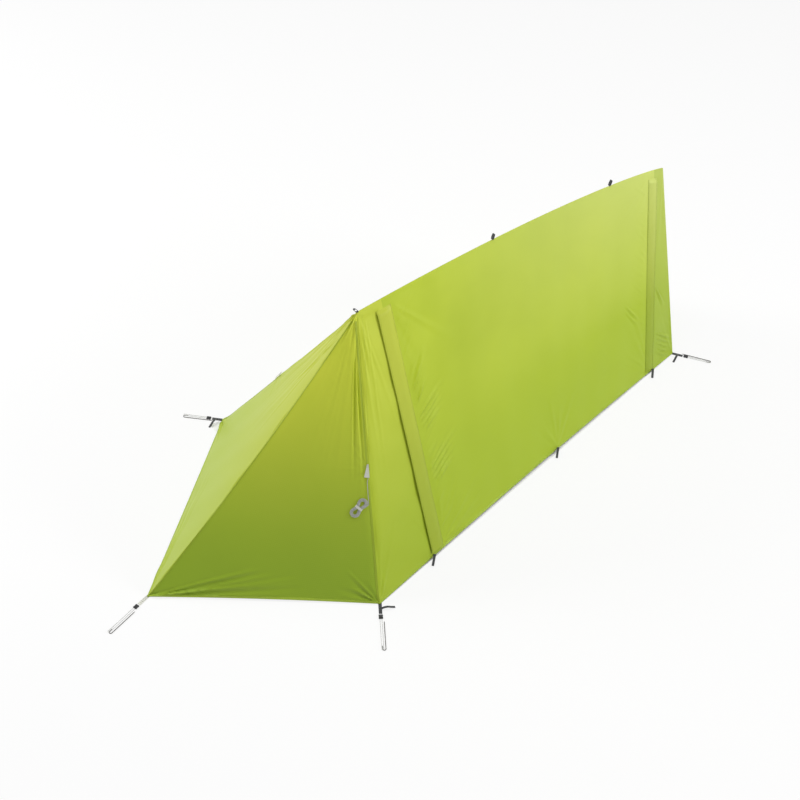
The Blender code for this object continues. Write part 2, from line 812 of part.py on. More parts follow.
def tray_corners(height, inset):
    # The rounded corners of one level of the tray, inset further by the cloth for its inside
    front = FRONT_X + FLOOR_END_INSET + FLOOR_CORNER_RADIUS * 0.3 + inset
    rear = REAR_X - FLOOR_END_INSET - inset
    share = height / FRONT_PEAK_HEIGHT
    lean = FLOOR_INSET + (FLOOR_TOP_INSET - FLOOR_INSET) * height / FLOOR_WALL_HEIGHT + inset
    points = []
    for x, side, quarter in ((rear, FAR, 0), (front, FAR, 1), (front, NEAR, 2), (rear, NEAR, 3)):
        outward = 1 if x > 0 else -1
        centre_x = x - outward * FLOOR_CORNER_RADIUS
        width = half_width(centre_x) * (1 - share) - lean
        centre_y = side * (width - FLOOR_CORNER_RADIUS)
        for k in range(4):
            turn = (quarter + k / 3) * math.pi / 2
            y = centre_y + FLOOR_CORNER_RADIUS * math.sin(turn)
            points.append(Vector((centre_x + FLOOR_CORNER_RADIUS * math.cos(turn), y, height)))
    return points


def sides_of(points):
    return list(zip(points, points[1:] + points[:1]))


# The straight sides of the tray's foot are split into shorter runs, and every level has as many
tray_runs = [max(1, round((after - point).length / FLOOR_RUN)) for point, after in sides_of(tray_corners(0.0, 0.0))]


def floor_outline(height, inset):
    split = []
    for (point, after), runs in zip(sides_of(tray_corners(height, inset)), tray_runs):
        split += [point.lerp(after, n / runs) for n in range(runs)]
    return split


def shrunk(outline, share, lift):
    # A ring of the floor's base: every other ring lies a little proud of the ground
    middle = sum(p.x for p in outline) / len(outline)
    height = outline[0].z + lift
    return [Vector((middle + (p.x - middle) * share, p.y * share, height)) for p in outline]


def lofted_tray(name, levels, material):
    # Rings in order up the outside and down the inside, closed by a cap at each end
    bm = bmesh.new()
    rings = [[bm.verts.new(p) for p in level] for level in levels]
    count = len(rings[0])
    for low, high in zip(rings, rings[1:]):
        for k in range(count):
            n = (k + 1) % count
            bm.faces.new((low[k], low[n], high[n], high[k]))
    bm.faces.new(list(reversed(rings[0])))
    bm.faces.new(rings[-1])
    return object_from_bmesh(name, bm, material)


outer_foot = floor_outline(0.0, 0.0)
inner_foot = [Vector((p.x, p.y, FLOOR_CLOTH)) for p in floor_outline(0.0, FLOOR_CLOTH)]
floor_rings = tuple(zip(FLOOR_RINGS, (0.0, FLOOR_PUCKER, 0.0, FLOOR_PUCKER)))
floor_levels = [shrunk(outer_foot, share, lift) for share, lift in floor_rings] + [outer_foot]
floor_levels += [floor_outline(FLOOR_WALL_HEIGHT, 0.0), floor_outline(FLOOR_WALL_HEIGHT, FLOOR_CLOTH), inner_foot]
floor_levels += [shrunk(inner_foot, share, lift) for share, lift in reversed(floor_rings)]
lofted_tray("bathtub_floor", floor_levels, FLOOR_FINISH)


# Ground tie-outs, one at each corner and one at the nose

def webbing_tab(name, place, tail_turn, finish):
    half = WEBBING_WIDTH / 2
    outline = rounded_box(-half, 0.0, half, WEBBING_THICKNESS, WEBBING_THICKNESS * 0.3, 1)
    tab = prism(name, outline, [], -WEBBING_ROOT, WEBBING_LENGTH, finish, place)
    if tail_turn is None:
        return
    # The free end of the strap rises out of the tab and falls back to the ground
    start = Vector((WEBBING_LENGTH * 0.55, 0, 0))
    heading = Vector((math.cos(tail_turn), math.sin(tail_turn), 0))
    across = Vector((-heading.y, heading.x, 0)) * TAIL_WIDTH / 2
    middle = TAIL_THICKNESS / 2
    route = [start + Vector((0, 0, WEBBING_THICKNESS * 0.5)), start + heading * 0.014 + Vector((0, 0, 0.011)),
             start + heading * 0.034 + Vector((0, 0, 0.013)), start + heading * 0.052 + Vector((0, 0, 0.006)),
             start + heading * 0.070 + Vector((0, 0, middle + 0.0002))]
    route = smooth_route(route, 0.009)
    lower = []
    upper = []
    for k, point in enumerate(route):
        ahead = (route[min(k + 1, len(route) - 1)] - route[max(k - 1, 0)]).normalized()
        up = ahead.cross(across).normalized()
        up = up if up.z > 0 else -up
        lower.append([point - across - up * middle, point + across - up * middle])
        upper.append([point - across + up * middle, point + across + up * middle])
    tail = slab(name + "_tail", lower, upper, finish)
    tail.matrix_world = place
    joined_to(tab, tail, "UNION")


def cord_loop(name, place, reach):
    # Out along one side, round over the peg and back along the other side
    half = CORD_SPACING / 2
    start = WEBBING_LENGTH + CLEARANCE
    over_peg = PEG_DIAMETER + CLEARANCE + CORD_DIAMETER / 2
    rise_from = reach - 0.055
    rise_to = reach - 0.022
    out = [(start, half, CORD_HEIGHT), (start + 0.03, half, CORD_HEIGHT), (rise_from, half, CORD_HEIGHT),
           (rise_to, half, over_peg)]
    bend = []
    for k in range(7):
        turn = math.pi / 2 - math.pi * k / 6
        bend.append((reach - half + half * math.cos(turn), half * math.sin(turn), over_peg))
    back = [(x, -y, z) for x, y, z in reversed(out)]
    points = smooth_route([Vector(p) for p in out + bend + back], 0.0075)
    tube(name, [place @ p for p in points], CORD_DIAMETER / 2, REFLECTIVE)


def line_tensioner(name, place):
    half = TENSIONER_WIDTH / 2
    start = WEBBING_LENGTH + TENSIONER_OFFSET
    bore = CORD_DIAMETER / 2 + 0.0004
    outline = rounded_box(-half, CLEARANCE, half, TENSIONER_HEIGHT, 0.0018, 2)
    holes = [circle(side * CORD_SPACING / 2, CORD_HEIGHT, bore, 12) for side in (-1, 1)]
    prism(name, outline, holes, start, start + TENSIONER_LENGTH, PLASTIC, place)


def wire_peg(name, place, reach):
    # A straight pointed shaft beside the cord and a hook that turns back under its end
    radius = PEG_DIAMETER / 2
    bend = PEG_SIDE_STEP / 2
    centre = reach - bend - 0.001
    points = [Vector((centre - PEG_LENGTH, PEG_SIDE_STEP, radius)),
              Vector((centre - PEG_LENGTH + 0.012, PEG_SIDE_STEP, radius)),
              Vector((centre - 0.02, PEG_SIDE_STEP, radius))]
    for k in range(9):
        turn = math.pi / 2 - math.pi * k / 8
        points.append(Vector((centre + bend * math.cos(turn), bend + bend * math.sin(turn), radius)))
    points.append(Vector((centre - 0.016, 0, radius)))
    tube(name, [place @ p for p in points], radius, PEG_FINISH, taper=(0.25, 1.0))


def tie_out(prefix, corner, heading, reach, tail_turn):
    place = frame_at(Vector((corner.x, corner.y, 0.0)), heading, Vector((0, 0, 1)))
    webbing_tab(prefix + "_webbing", place, tail_turn, REFLECTIVE if prefix == "nose" else WEBBING)
    cord_loop(prefix + "_cord", place, reach)
    line_tensioner(prefix + "_tensioner", place)
    wire_peg(prefix + "_peg", place, reach)
    print("tie-out", prefix, "heads", tuple(round(c, 5) for c in heading.normalized()))


TIE_OUTS = (
    ("nose", NOSE, Vector((-0.966, -0.259, 0)), 0.250, None),
    ("near_front", hem_point(FRONT_X, NEAR), Vector((-0.580, -0.815, 0)), 0.252, 1.75),
    ("far_front", hem_point(FRONT_X, FAR), Vector((-0.690, 0.724, 0)), 0.205, 1.20),
    ("near_rear", hem_point(REAR_X, NEAR), Vector((0.520, -0.854, 0)), 0.205, -1.75),
    ("far_rear", hem_point(REAR_X, FAR), Vector((0.520, 0.854, 0)), 0.205, 1.75),
)
for tie_name, tie_corner, tie_heading, tie_reach, tie_tail in TIE_OUTS:
    tie_out(tie_name, tie_corner, tie_heading, tie_reach, tie_tail)


# Small webbing loops: a flat ring of strap, seen from its edge

def above_crest(point):
    # Height over the ridge, or over the fold that runs on from it to the nose
    if point.x >= PEAK_X:
        return point.z - ridge_point(point.x).z
    return point.z - NOSE.z - (ridge_point(PEAK_X).z - NOSE.z) * (point.x - NOSE_X) / (PEAK_X - NOSE_X)


def off_panel(panel, way):
    # A measure of how far a point lies off a panel, or None where it lies past the panel's edge
    wall = BVHTree.FromPolygons(*SURFACES[panel])
    far = way * 0.2

    def measure(point):
        found = wall.ray_cast(point + far, -way)[3]
        return None if found is None else found - far.length
    return measure


def strap_ring(name, place, length, height, measure, way):
    # The ring starts at the placement's origin, reaches out along X and is open along Y,
    # and is then moved along the given way until it is just clear of what carries it
    bm = bmesh.new()
    count = 20
    outer = []
    inner = []
    for k in range(count):
        turn = 2 * math.pi * k / count
        swell = math.copysign(abs(math.sin(turn)) ** 0.8, math.sin(turn))
        outer.append((length / 2 + length / 2 * math.cos(turn), height / 2 * swell))
        inner.append((length / 2 + (length / 2 - LOOP_WALL) * math.cos(turn), (height / 2 - LOOP_WALL) * swell))
    half = LOOP_WIDTH / 2
    rings = []
    for loop, y in ((outer, -half), (outer, half), (inner, half), (inner, -half)):
        rings.append([bm.verts.new((x, y, z)) for x, z in loop])
    for low, high in zip(rings, rings[1:] + rings[:1]):
        for k in range(count):
            n = (k + 1) % count
            bm.faces.new((low[k], low[n], high[n], high[k]))
    found = [measure(place @ v.co) for v in bm.verts]
    nearest = min(gap for gap in found if gap is not None)
    place = Matrix.Translation(way * (CLEARANCE - nearest)) @ place
    item = object_from_bmesh(name, bm, WEBBING, smooth=True)
    item.matrix_world = place
    middle = place @ Vector((length / 2, 0, 0))
    print("loop", name, "centre", tuple(round(c, 4) for c in middle), "open along",
          tuple(round(c, 4) for c in place.to_3x3() @ Vector((0, 1, 0))))
    return item


def hem_loop(name, x, side, wall):
    # Sewn to the outside of the hem, and reaches out and down to just above the ground
    outward = Vector((0, side, 0))
    heading = Vector((-math.sin(LOOP_SWING), side * math.cos(LOOP_SWING), 0))
    start = hem_point(x, side) + Vector((0, 0, LOOP_HEIGHT * 0.62))
    fall = start.z - LOOP_HEIGHT * 0.5 - 0.0012
    ahead = heading * math.sqrt(LOOP_LENGTH ** 2 - fall ** 2) - Vector((0, 0, fall))
    place = frame_at(start, ahead, Vector((0, 0, 1)))
    return strap_ring(name, place, LOOP_LENGTH, LOOP_HEIGHT, off_panel(wall, outward), outward)


LOOP_BESIDE_ZIP = 0.022
front_loop_x = RULINGS[1][1] - LOOP_BESIDE_ZIP
rear_loop_x = RULINGS[2][1] + LOOP_BESIDE_ZIP
middle_loop_x = FRONT_X + BODY_LENGTH * 0.57
hem_loop("near_front_hem_loop", front_loop_x, NEAR, "front_side_panel")
hem_loop("near_rear_hem_loop", rear_loop_x, NEAR, "rear_side_panel")
hang_on_door(hem_loop("near_middle_hem_loop", middle_loop_x, NEAR, "side_door"))
hem_loop("far_front_hem_loop", front_loop_x, FAR, "far_wall")
hem_loop("far_middle_hem_loop", middle_loop_x, FAR, "far_wall")
hem_loop("far_rear_hem_loop", rear_loop_x, FAR, "far_wall")


def ridge_loop(name, x, lean):
    place = frame_at(ridge_point(x), Vector((lean, 0, 1)), Vector((-1, 0, 0)))
    strap_ring(name, place, RIDGE_LOOP_LENGTH, LOOP_HEIGHT, above_crest, Vector((0, 0, 1)))


ridge_loop("front_ridge_loop", FRONT_X + BODY_LENGTH * 0.50, 0.25)
ridge_loop("rear_ridge_loop", FRONT_X + BODY_LENGTH * 0.83, 0.35)
ridge_loop("front_peak_loop", PEAK_X + 0.004, -0.9)


# Seam tie-outs half way down the two front seams

def seam_tab(name, side):
    # A doubled triangular tab that lies on the nose panel and points down the seam
    top = straight_wall(0, SEAM_TAB_AT, side)
    fall = (straight_wall(0, 1, side) - top).normalized()
    across = (NOSE - straight_wall(0, 1, side)).normalized()
    normal = fall.cross(across).normalized()
    normal = normal if normal.y * side > 0 else -normal
    across = (across - fall * across.dot(fall)).normalized()
    base = top + across * 0.002 + normal * 0.0006
    bm = bmesh.new()
    outline = ((0.0, 0.0), (SEAM_TAB_WIDTH, 0.004), (SEAM_TAB_WIDTH * 0.45, SEAM_TAB_LENGTH),
               (SEAM_TAB_WIDTH * 0.15, SEAM_TAB_LENGTH))
    low = [bm.verts.new(base + across * a + fall * f) for a, f in outline]
    high = [bm.verts.new(base + across * a + fall * f + normal * 0.0018) for a, f in outline]
    bm.faces.new(low)
    bm.faces.new(list(reversed(high)))
    for k in range(4):
        n = (k + 1) % 4
        bm.faces.new((low[k], high[k], high[n], low[n]))
    object_from_bmesh(name, bm, REFLECTIVE)
    tip = base + across * SEAM_TAB_WIDTH * 0.3 + fall * SEAM_TAB_LENGTH
    return tip, fall, across, normal


# The guy line that hangs from the near tab, wound into a hank in two layers

def hank_route():
    # Loop points in the hank's own plane: X down the hank, Y across it, Z away from the cloth
    per_layer = HANK_LOOPS // HANK_LAYERS
    straight = 6
    round_end = LOOP_POINTS // 2 - straight
    points = []
    for k in range(HANK_LOOPS * LOOP_POINTS + 1):
        turn = k / LOOP_POINTS
        layer = min(int(turn // per_layer), HANK_LAYERS - 1)
        into = turn - layer * per_layer
        # The line winds inward, climbs at the middle, and winds outward on top of itself
        caught_up = into if into > 2 * HANK_CLIMB else max(into - HANK_CLIMB, 0.0) * 2
        outward = caught_up if layer else per_layer - into
        radius = HANK_INNER_RADIUS + GUY_PITCH * outward
        height = GUY_PITCH * min(into / HANK_CLIMB, 1.0) if layer else 0.0
        place = k % LOOP_POINTS
        half_turn, step = divmod(place, LOOP_POINTS // 2)
        sign = 1 if half_turn == 0 else -1
        if step < straight:
            x = sign * (step / straight - 0.5) * HANK_RUN
            y = sign * radius
        else:
            angle = math.pi * (step - straight) / round_end
            x = sign * (HANK_RUN / 2 + radius * math.sin(angle))
            y = sign * radius * math.cos(angle)
        points.append(Vector((x, y, height)))
    return points


def least_gap(points, skip):
    # The least distance between stretches of the tube that are more than half a loop apart
    best = 1.0
    for i, one in enumerate(points):
        for j in range(i + skip, len(points) - 1):
            a, b = points[j], points[j + 1]
            run = b - a
            share = min(max((one - a).dot(run) / run.length_squared, 0.0), 1.0)
            best = min(best, (one - a - run * share).length)
    return best - GUY_DIAMETER


tab_tip, tab_fall, tab_across, tab_normal = seam_tab("near_seam_tab", NEAR)
seam_tab("far_seam_tab", FAR)

hank = hank_route()
print("hank gap to itself, mm:", round(least_gap(hank, LOOP_POINTS // 2) * 1000, 3))
hank_length = HANK_RUN + 2 * (HANK_INNER_RADIUS + GUY_PITCH * HANK_LOOPS / HANK_LAYERS)
hank_down = (tab_fall + tab_across * HANK_TILT).normalized()
hank_centre = (tab_tip + tab_across * HANK_SIDE_STEP + tab_fall * (HANK_DROP + hank_length / 2)
               + tab_normal * (GUY_DIAMETER / 2 + 0.0012))
hank_place = frame_at(hank_centre, hank_down, tab_normal)
wound = [hank_place @ p for p in hank]
lead_start = tab_tip + tab_fall * CLEARANCE + tab_normal * 0.0012
lead = [lead_start, lead_start + tab_fall * 0.010, lead_start + tab_fall * 0.022 + tab_across * 0.004]
lead_end = wound[0] - (wound[1] - wound[0]).normalized() * 0.012
lead_route = smooth_route(lead + [lead_end], 0.007)
tube("guy_line_hank", lead_route[:-1] + [lead_end] + wound, GUY_DIAMETER / 2, REFLECTIVE, sides=1)


def hank_tie():
    # A strap band round the middle of the hank
    reach = HANK_INNER_RADIUS + GUY_PITCH * HANK_LOOPS / HANK_LAYERS + GUY_DIAMETER / 2 + 0.0006
    low = -GUY_DIAMETER / 2 - 0.0004
    high = GUY_PITCH * (HANK_LAYERS - 1) + GUY_DIAMETER / 2 + 0.0006
    wall = 0.0005
    outline = rounded_box(-reach - wall, low - wall, reach + wall, high + wall, 0.0016, 2)
    hole = rounded_box(-reach, low, reach, high, 0.0011, 2)
    prism("guy_line_tie", outline, [hole], -0.006, 0.006, WEBBING, hank_place)


hank_tie()

print("door hinge at", tuple(round(c, 5) for c in hinge_middle), "along", tuple(round(c, 5) for c in hinge_run))
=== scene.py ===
"""Looks of a long single-walled backpacking tent, pitched and pegged out on a pale floor.

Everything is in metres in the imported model's frame: the ridge runs along X with the nose
at -X, the side door faces -Y, and the ground is at Z = 0.
"""

import json
import logging
import math
import random
from dataclasses import dataclass, field
from enum import Enum
from functools import partial
from typing import Callable, Sequence

import bmesh
import bpy
import numpy as np
from mathutils import Matrix, Vector

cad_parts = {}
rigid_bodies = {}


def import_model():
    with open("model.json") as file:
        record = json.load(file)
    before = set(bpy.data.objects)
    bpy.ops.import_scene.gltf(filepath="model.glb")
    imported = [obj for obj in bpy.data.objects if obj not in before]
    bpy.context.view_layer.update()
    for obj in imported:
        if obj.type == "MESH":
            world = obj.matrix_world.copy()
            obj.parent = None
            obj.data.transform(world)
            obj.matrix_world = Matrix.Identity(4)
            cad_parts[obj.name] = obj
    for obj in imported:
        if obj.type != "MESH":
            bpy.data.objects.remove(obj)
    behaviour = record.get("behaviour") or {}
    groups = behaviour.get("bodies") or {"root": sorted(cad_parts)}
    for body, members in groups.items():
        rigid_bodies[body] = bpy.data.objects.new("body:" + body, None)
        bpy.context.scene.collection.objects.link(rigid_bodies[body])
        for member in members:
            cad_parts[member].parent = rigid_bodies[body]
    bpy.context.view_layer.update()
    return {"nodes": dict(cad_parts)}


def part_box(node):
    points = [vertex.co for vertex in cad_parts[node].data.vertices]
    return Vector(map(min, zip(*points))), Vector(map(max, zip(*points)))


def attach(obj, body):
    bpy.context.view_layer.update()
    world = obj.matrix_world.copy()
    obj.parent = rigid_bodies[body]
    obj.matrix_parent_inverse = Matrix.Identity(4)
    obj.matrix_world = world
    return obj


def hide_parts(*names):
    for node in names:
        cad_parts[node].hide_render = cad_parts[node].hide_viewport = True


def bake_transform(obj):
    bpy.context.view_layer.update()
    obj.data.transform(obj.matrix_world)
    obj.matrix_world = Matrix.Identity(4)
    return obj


LOG = logging.getLogger("tent")
Array = np.ndarray
Number = Array | float
Surface = Callable[[Array, Array], Array]
Socket = bpy.types.NodeSocket
Tree = bpy.types.NodeTree
Material = bpy.types.Material
Item = bpy.types.Object

TENT = "tent"
DOOR = "door"
NEAR = -1
FAR = 1
UP = Vector((0.0, 0.0, 1.0))
# A point in the tent's inside, from which every panel faces away
INSIDE = np.array((-0.4, 0.0, 0.35))

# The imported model's material slots
CLOTH_SLOT = "lime_coated_ripstop"
FLOOR_SLOT = "grey_coated_floor_cloth"
WEBBING_SLOT = "charcoal_webbing"
PALE_SLOT = "pale_grey_reflective_cord"
ZIP_SLOT = "olive_coil_zip"
PLASTIC_SLOT = "black_acetal"
POLE_SLOT = "anodised_pole_tube"
WIRE_SLOT = "titanium_wire"


# Small helpers for colours and shader nodes


def linear(colour: str) -> tuple[float, float, float, float]:
    """Turns an sRGB hex colour into linear RGBA.

    Args:
        colour: Six hex digits, with or without a leading hash.

    Returns:
        Linear red, green, blue and a full alpha.
    """
    digits = colour.lstrip("#")
    parts = [int(digits[k:k + 2], 16) / 255 for k in (0, 2, 4)]
    bent = [c / 12.92 if c <= 0.04045 else ((c + 0.055) / 1.055) ** 2.4 for c in parts]
    return bent[0], bent[1], bent[2], 1.0


def add(tree: Tree, kind: str, settings: dict | None = None, inputs: dict | None = None) -> bpy.types.Node:
    """Adds a node with its settings and links.

    Args:
        tree: The tree that gets the node.
        kind: The node's type name.
        settings: Properties of the node.
        inputs: Values or output sockets by input name or number.

    Returns:
        The new node.
    """
    node = tree.nodes.new(kind)
    for key, value in (settings or {}).items():
        setattr(node, key, value)
    for key, value in (inputs or {}).items():
        if isinstance(value, Socket):
            tree.links.new(value, node.inputs[key])
        else:
            node.inputs[key].default_value = value
    return node


def shader_of(name: str, **sockets: object) -> tuple[Material, Tree, bpy.types.Node]:
    """Starts a material on its Principled shader.

    Args:
        name: The material's name.
        **sockets: Constants for the shader, with underscores for spaces.

    Returns:
        The material, its node tree and its shader.
    """
    material = bpy.data.materials.new(name)
    material.use_nodes = True
    tree = material.node_tree
    shader = tree.nodes["Principled BSDF"]
    for key, value in sockets.items():
        shader.inputs[key.replace("_", " ")].default_value = value
    return material, tree, shader


def object_place(tree: Tree) -> Socket:
    """Places in the object's own coordinates."""
    return add(tree, "ShaderNodeTexCoord").outputs["Object"]


def cloth_place(tree: Tree) -> Socket:
    """Places on the flat cloth, in metres."""
    return add(tree, "ShaderNodeUVMap", {"uv_map": "cloth"}).outputs[0]


def axes_of(tree: Tree, place: Socket) -> list[Socket]:
    """Splits a place into its three axes."""
    return list(add(tree, "ShaderNodeSeparateXYZ", inputs={0: place}).outputs)


def mix_colour(tree: Tree, factor: object, first: object, second: object) -> Socket:
    """Mixes two colours or colour sockets and returns the mixed colour."""
    return add(tree, "ShaderNodeMix", {"data_type": "RGBA"}, {0: factor, 6: first, 7: second}).outputs[2]


def reckon(tree: Tree, operation: str, first: object, second: object = 0.0) -> Socket:
    """Adds one sum on two numbers or sockets and returns its value."""
    return add(tree, "ShaderNodeMath", {"operation": operation}, {0: first, 1: second}).outputs[0]


def ramp(tree: Tree, value: Socket, low: float, high: float, first: float = 0.0, last: float = 1.0,
         smooth: bool = False) -> Socket:
    """Maps a value from the range low to high onto the range first to last, smoothly if asked."""
    kind = {"interpolation_type": "SMOOTHSTEP"} if smooth else None
    return add(tree, "ShaderNodeMapRange", kind, {0: value, 1: low, 2: high, 3: first, 4: last}).outputs[0]


def noise(tree: Tree, place: Socket, scale: float, detail: float, kind: str = "FBM", **more: float) -> Socket:
    """The value of a noise texture at a place, with its scale per metre and its octaves."""
    inputs = {"Vector": place, "Scale": scale, "Detail": detail, **more}
    return add(tree, "ShaderNodeTexNoise", {"noise_type": kind}, inputs).outputs[0]


def bump(tree: Tree, strength: float, depth_mm: float, height: Socket, under: Socket | None = None) -> Socket:
    """The normal of a bump whose height runs from nought to one, over a coarser bump's normal if given."""
    inputs = {"Strength": strength, "Distance": depth_mm / 1000, "Height": height}
    return add(tree, "ShaderNodeBump", inputs=inputs | ({"Normal": under} if under else {})).outputs[0]


def dressed(tree: Tree, shader: bpy.types.Node, **sockets: Socket) -> None:
    """Links sockets to a shader's inputs, named with underscores for spaces."""
    for key, value in sockets.items():
        tree.links.new(value, shader.inputs[key.replace("_", " ")])


def seen_straight(tree: Tree) -> Socket:
    """One for rays that come from the camera, a mirror or through clear plastic, and nought for the rest."""
    rays = add(tree, "ShaderNodeLightPath").outputs
    through = reckon(tree, "MAXIMUM", rays["Is Glossy Ray"], rays["Is Transmission Ray"])
    return reckon(tree, "MAXIMUM", rays["Is Camera Ray"], through)


# Small helpers for shapes


def unit(vectors: Array) -> Array:
    """Scales each vector of an array to length one."""
    return vectors / np.maximum(np.linalg.norm(vectors, axis=-1, keepdims=True), 1e-12)


def rise(values: Number, low: float, high: float) -> Array:
    """Rises smoothly from nought at low to one at high."""
    share = np.clip((values - low) / (high - low), 0.0, 1.0)
    return share * share * (3 - 2 * share)


def pair(u: Number, v: Number) -> tuple[Array, Array]:
    """Two numbers or arrays as arrays of one shape."""
    return np.broadcast_arrays(np.asarray(u, float), np.asarray(v, float))


def length_of(path: Array) -> float:
    """Length of a line of points."""
    return float(np.linalg.norm(np.diff(path, axis=0), axis=1).sum())


def soft_box(count: int, half_width: float, half_height: float, side_power: float, top_power: float
             ) -> list[tuple[float, float]]:
    """Points round a box whose corners are rounder as its powers, across and upwards, near one."""
    turns = [(math.cos(2 * math.pi * k / count), math.sin(2 * math.pi * k / count)) for k in range(count)]
    return [(math.copysign(abs(right) ** side_power, right) * half_width,
             math.copysign(abs(up) ** top_power, up) * half_height) for right, up in turns]


@dataclass
class MeshParts:
    """Closed strips and grids gathered into one mesh with a cloth UV map in metres."""

    points: list[Array] = field(default_factory=list)
    faces: list[list[int]] = field(default_factory=list)
    coords: list[Array] = field(default_factory=list)
    count: int = 0

    def add(self, points: Array, faces: Sequence[Sequence[int]], coords: Array) -> None:
        """Takes in a piece of mesh.

        Args:
            points: Its points.
            faces: Its faces, as numbers of those points.
            coords: A UV place for each point.
        """
        self.points.append(np.asarray(points, float).reshape(-1, 3))
        self.coords.append(np.asarray(coords, float).reshape(-1, 2))
        self.faces += [[k + self.count for k in face] for face in faces]
        self.count += len(self.points[-1])

    def loft(self, sections: Array, closed: bool = False) -> "MeshParts":
        """Joins rings of points into a tube, capped at both ends unless it closes on itself.

        Args:
            sections: Points as rings along the piece, then points round each ring.
            closed: Whether the last ring joins the first.

        Returns:
            The parts themselves.
        """
        rings, around = sections.shape[:2]
        run = np.linalg.norm(np.diff(sections[:, 0], axis=0), axis=1)
        along = np.concatenate(([0.0], np.cumsum(run)))
        step = np.linalg.norm(np.diff(sections[0], axis=0, append=sections[0][:1]), axis=1)
        across = np.concatenate(([0.0], np.cumsum(step)[:-1]))
        coords = np.stack(np.broadcast_arrays(across[None, :], along[:, None]), axis=-1)
        faces = []
        for r in range(rings if closed else rings - 1):
            n = (r + 1) % rings
            for c in range(around):
                d = (c + 1) % around
                faces.append([r * around + c, r * around + d, n * around + d, n * around + c])
        if not closed:
            faces.append(list(range(around - 1, -1, -1)))
            faces.append([(rings - 1) * around + c for c in range(around)])
        self.add(sections, faces, coords)
        return self

    def object(self, name: str, material: Material, merge: float = 0.0, angle: float = 50.0) -> Item:
        """Makes the object, with its normals turned outward.

        Args:
            name: The object's name.
            material: Its finish.
            merge: Distance under which points are joined, or nought to leave them.
            angle: Edges sharper than this stay sharp, in degrees.

        Returns:
            The new object.
        """
        mesh = bpy.data.meshes.new(name)
        mesh.from_pydata(np.concatenate(self.points).tolist(), [], self.faces)
        coords = np.concatenate(self.coords)
        layer = mesh.uv_layers.new(name="cloth")
        corner = np.empty(len(mesh.loops), np.int32)
        mesh.loops.foreach_get("vertex_index", corner)
        layer.data.foreach_set("uv", coords[corner].astype(np.float32).ravel())
        shell = bmesh.new()
        shell.from_mesh(mesh)
        if merge:
            bmesh.ops.remove_doubles(shell, verts=shell.verts, dist=merge)
        bmesh.ops.recalc_face_normals(shell, faces=shell.faces)
        shell.to_mesh(mesh)
        shell.free()
        mesh.shade_smooth()
        mesh.set_sharp_from_angle(angle=math.radians(angle))
        mesh.materials.append(material)
        return linked(name, mesh)


def linked(name: str, data: bpy.types.ID) -> Item:
    """Puts a mesh, lamp or camera into the scene as an object."""
    item = bpy.data.objects.new(name, data)
    bpy.context.scene.collection.objects.link(item)
    return item


def finished(item: Item, body: str, slot: str, *nodes: str) -> Item:
    """Hangs a piece on its body and reports it.

    Args:
        item: The piece.
        body: Its body, or nothing to leave the piece on no body.
        slot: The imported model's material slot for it. Not used.
        *nodes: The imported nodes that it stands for.

    Returns:
        The piece.
    """
    if body:
        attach(item, body)
    if nodes:
        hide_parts(*nodes)
    LOG.info("%s: %d faces", item.name, len(item.data.polygons))
    return item


def frame_at(origin: Vector, forward: Vector, up: Vector) -> Matrix:
    """A placement whose X runs forward and whose Z is as near to up as it can be."""
    x, y = forward.normalized(), up.cross(forward.normalized()).normalized()
    return Matrix.Translation(origin) @ Matrix((x, y, x.cross(y))).transposed().to_4x4()


def smooth_route(knots: Sequence[Vector], step: float) -> list[Vector]:
    """Evenly stepped points on a smooth curve through the knots.

    Args:
        knots: The points that the curve passes.
        step: Distance between the points, in metres.

    Returns:
        The points, first and last knot included.
    """
    ends = [knots[0] * 2 - knots[1]] + list(knots) + [knots[-1] * 2 - knots[-2]]
    points = []
    for one, two, three, four in zip(ends, ends[1:], ends[2:], ends[3:]):
        count = max(2, round((three - two).length / step))
        for k in range(count):
            t = k / count
            points.append(0.5 * (2 * two + (three - one) * t
                                 + (2 * one - 5 * two + 4 * three - four) * t ** 2
                                 + (3 * two - one - 3 * three + four) * t ** 3))
    points.append(knots[-1])
    return points


def carried_frames(path: Array, side: Array | None = None) -> tuple[Array, Array]:
    """Two directions across a path at each of its points, carried along without twist.

    Args:
        path: Points along the path.
        side: A direction that the first of the two keeps to, or None to carry any.

    Returns:
        The side directions and the directions square to them.
    """
    ahead = unit(np.gradient(path, axis=0))
    sides = np.empty_like(path)
    guess = np.asarray(side if side is not None else (0.31, 0.17, 0.94), float)
    for k, tangent in enumerate(ahead):
        if side is not None:
            guess = np.asarray(side, float)
        guess = guess - tangent * guess.dot(tangent)
        guess = guess / max(np.linalg.norm(guess), 1e-9)
        sides[k] = guess
    return sides, np.cross(ahead, sides)


def swept(path: Array, ring: Array, half_width: Number, half_height: Number, side: Array | None = None
          ) -> Array:
    """Rings of points round a path.

    Args:
        path: Points along the middle.
        ring: The section's shape, as points across and above the middle.
        half_width: One size for the section's points across, or one for each point of the path.
        half_height: The same for its points above.
        side: The direction across, or None for any.

    Returns:
        Rings by points by three.
    """
    path = np.asarray(path, float)
    wide, high = (np.broadcast_to(np.asarray(size, float), (len(path),))[:, None, None]
                  for size in (half_width, half_height))
    sides, others = carried_frames(path, side)
    across, above = ring[None, :, :1] * wide, ring[None, :, 1:] * high
    return path[:, None] + sides[:, None] * across + others[:, None] * above


def tube_sections(path: Array, radius: Number, around: int = 10) -> Array:
    """Rings of points round a path, for a round cord or bar with one radius or one for each point."""
    return swept(path, np.array(soft_box(around, 1.0, 1.0, 1.0, 1.0)), radius, radius)


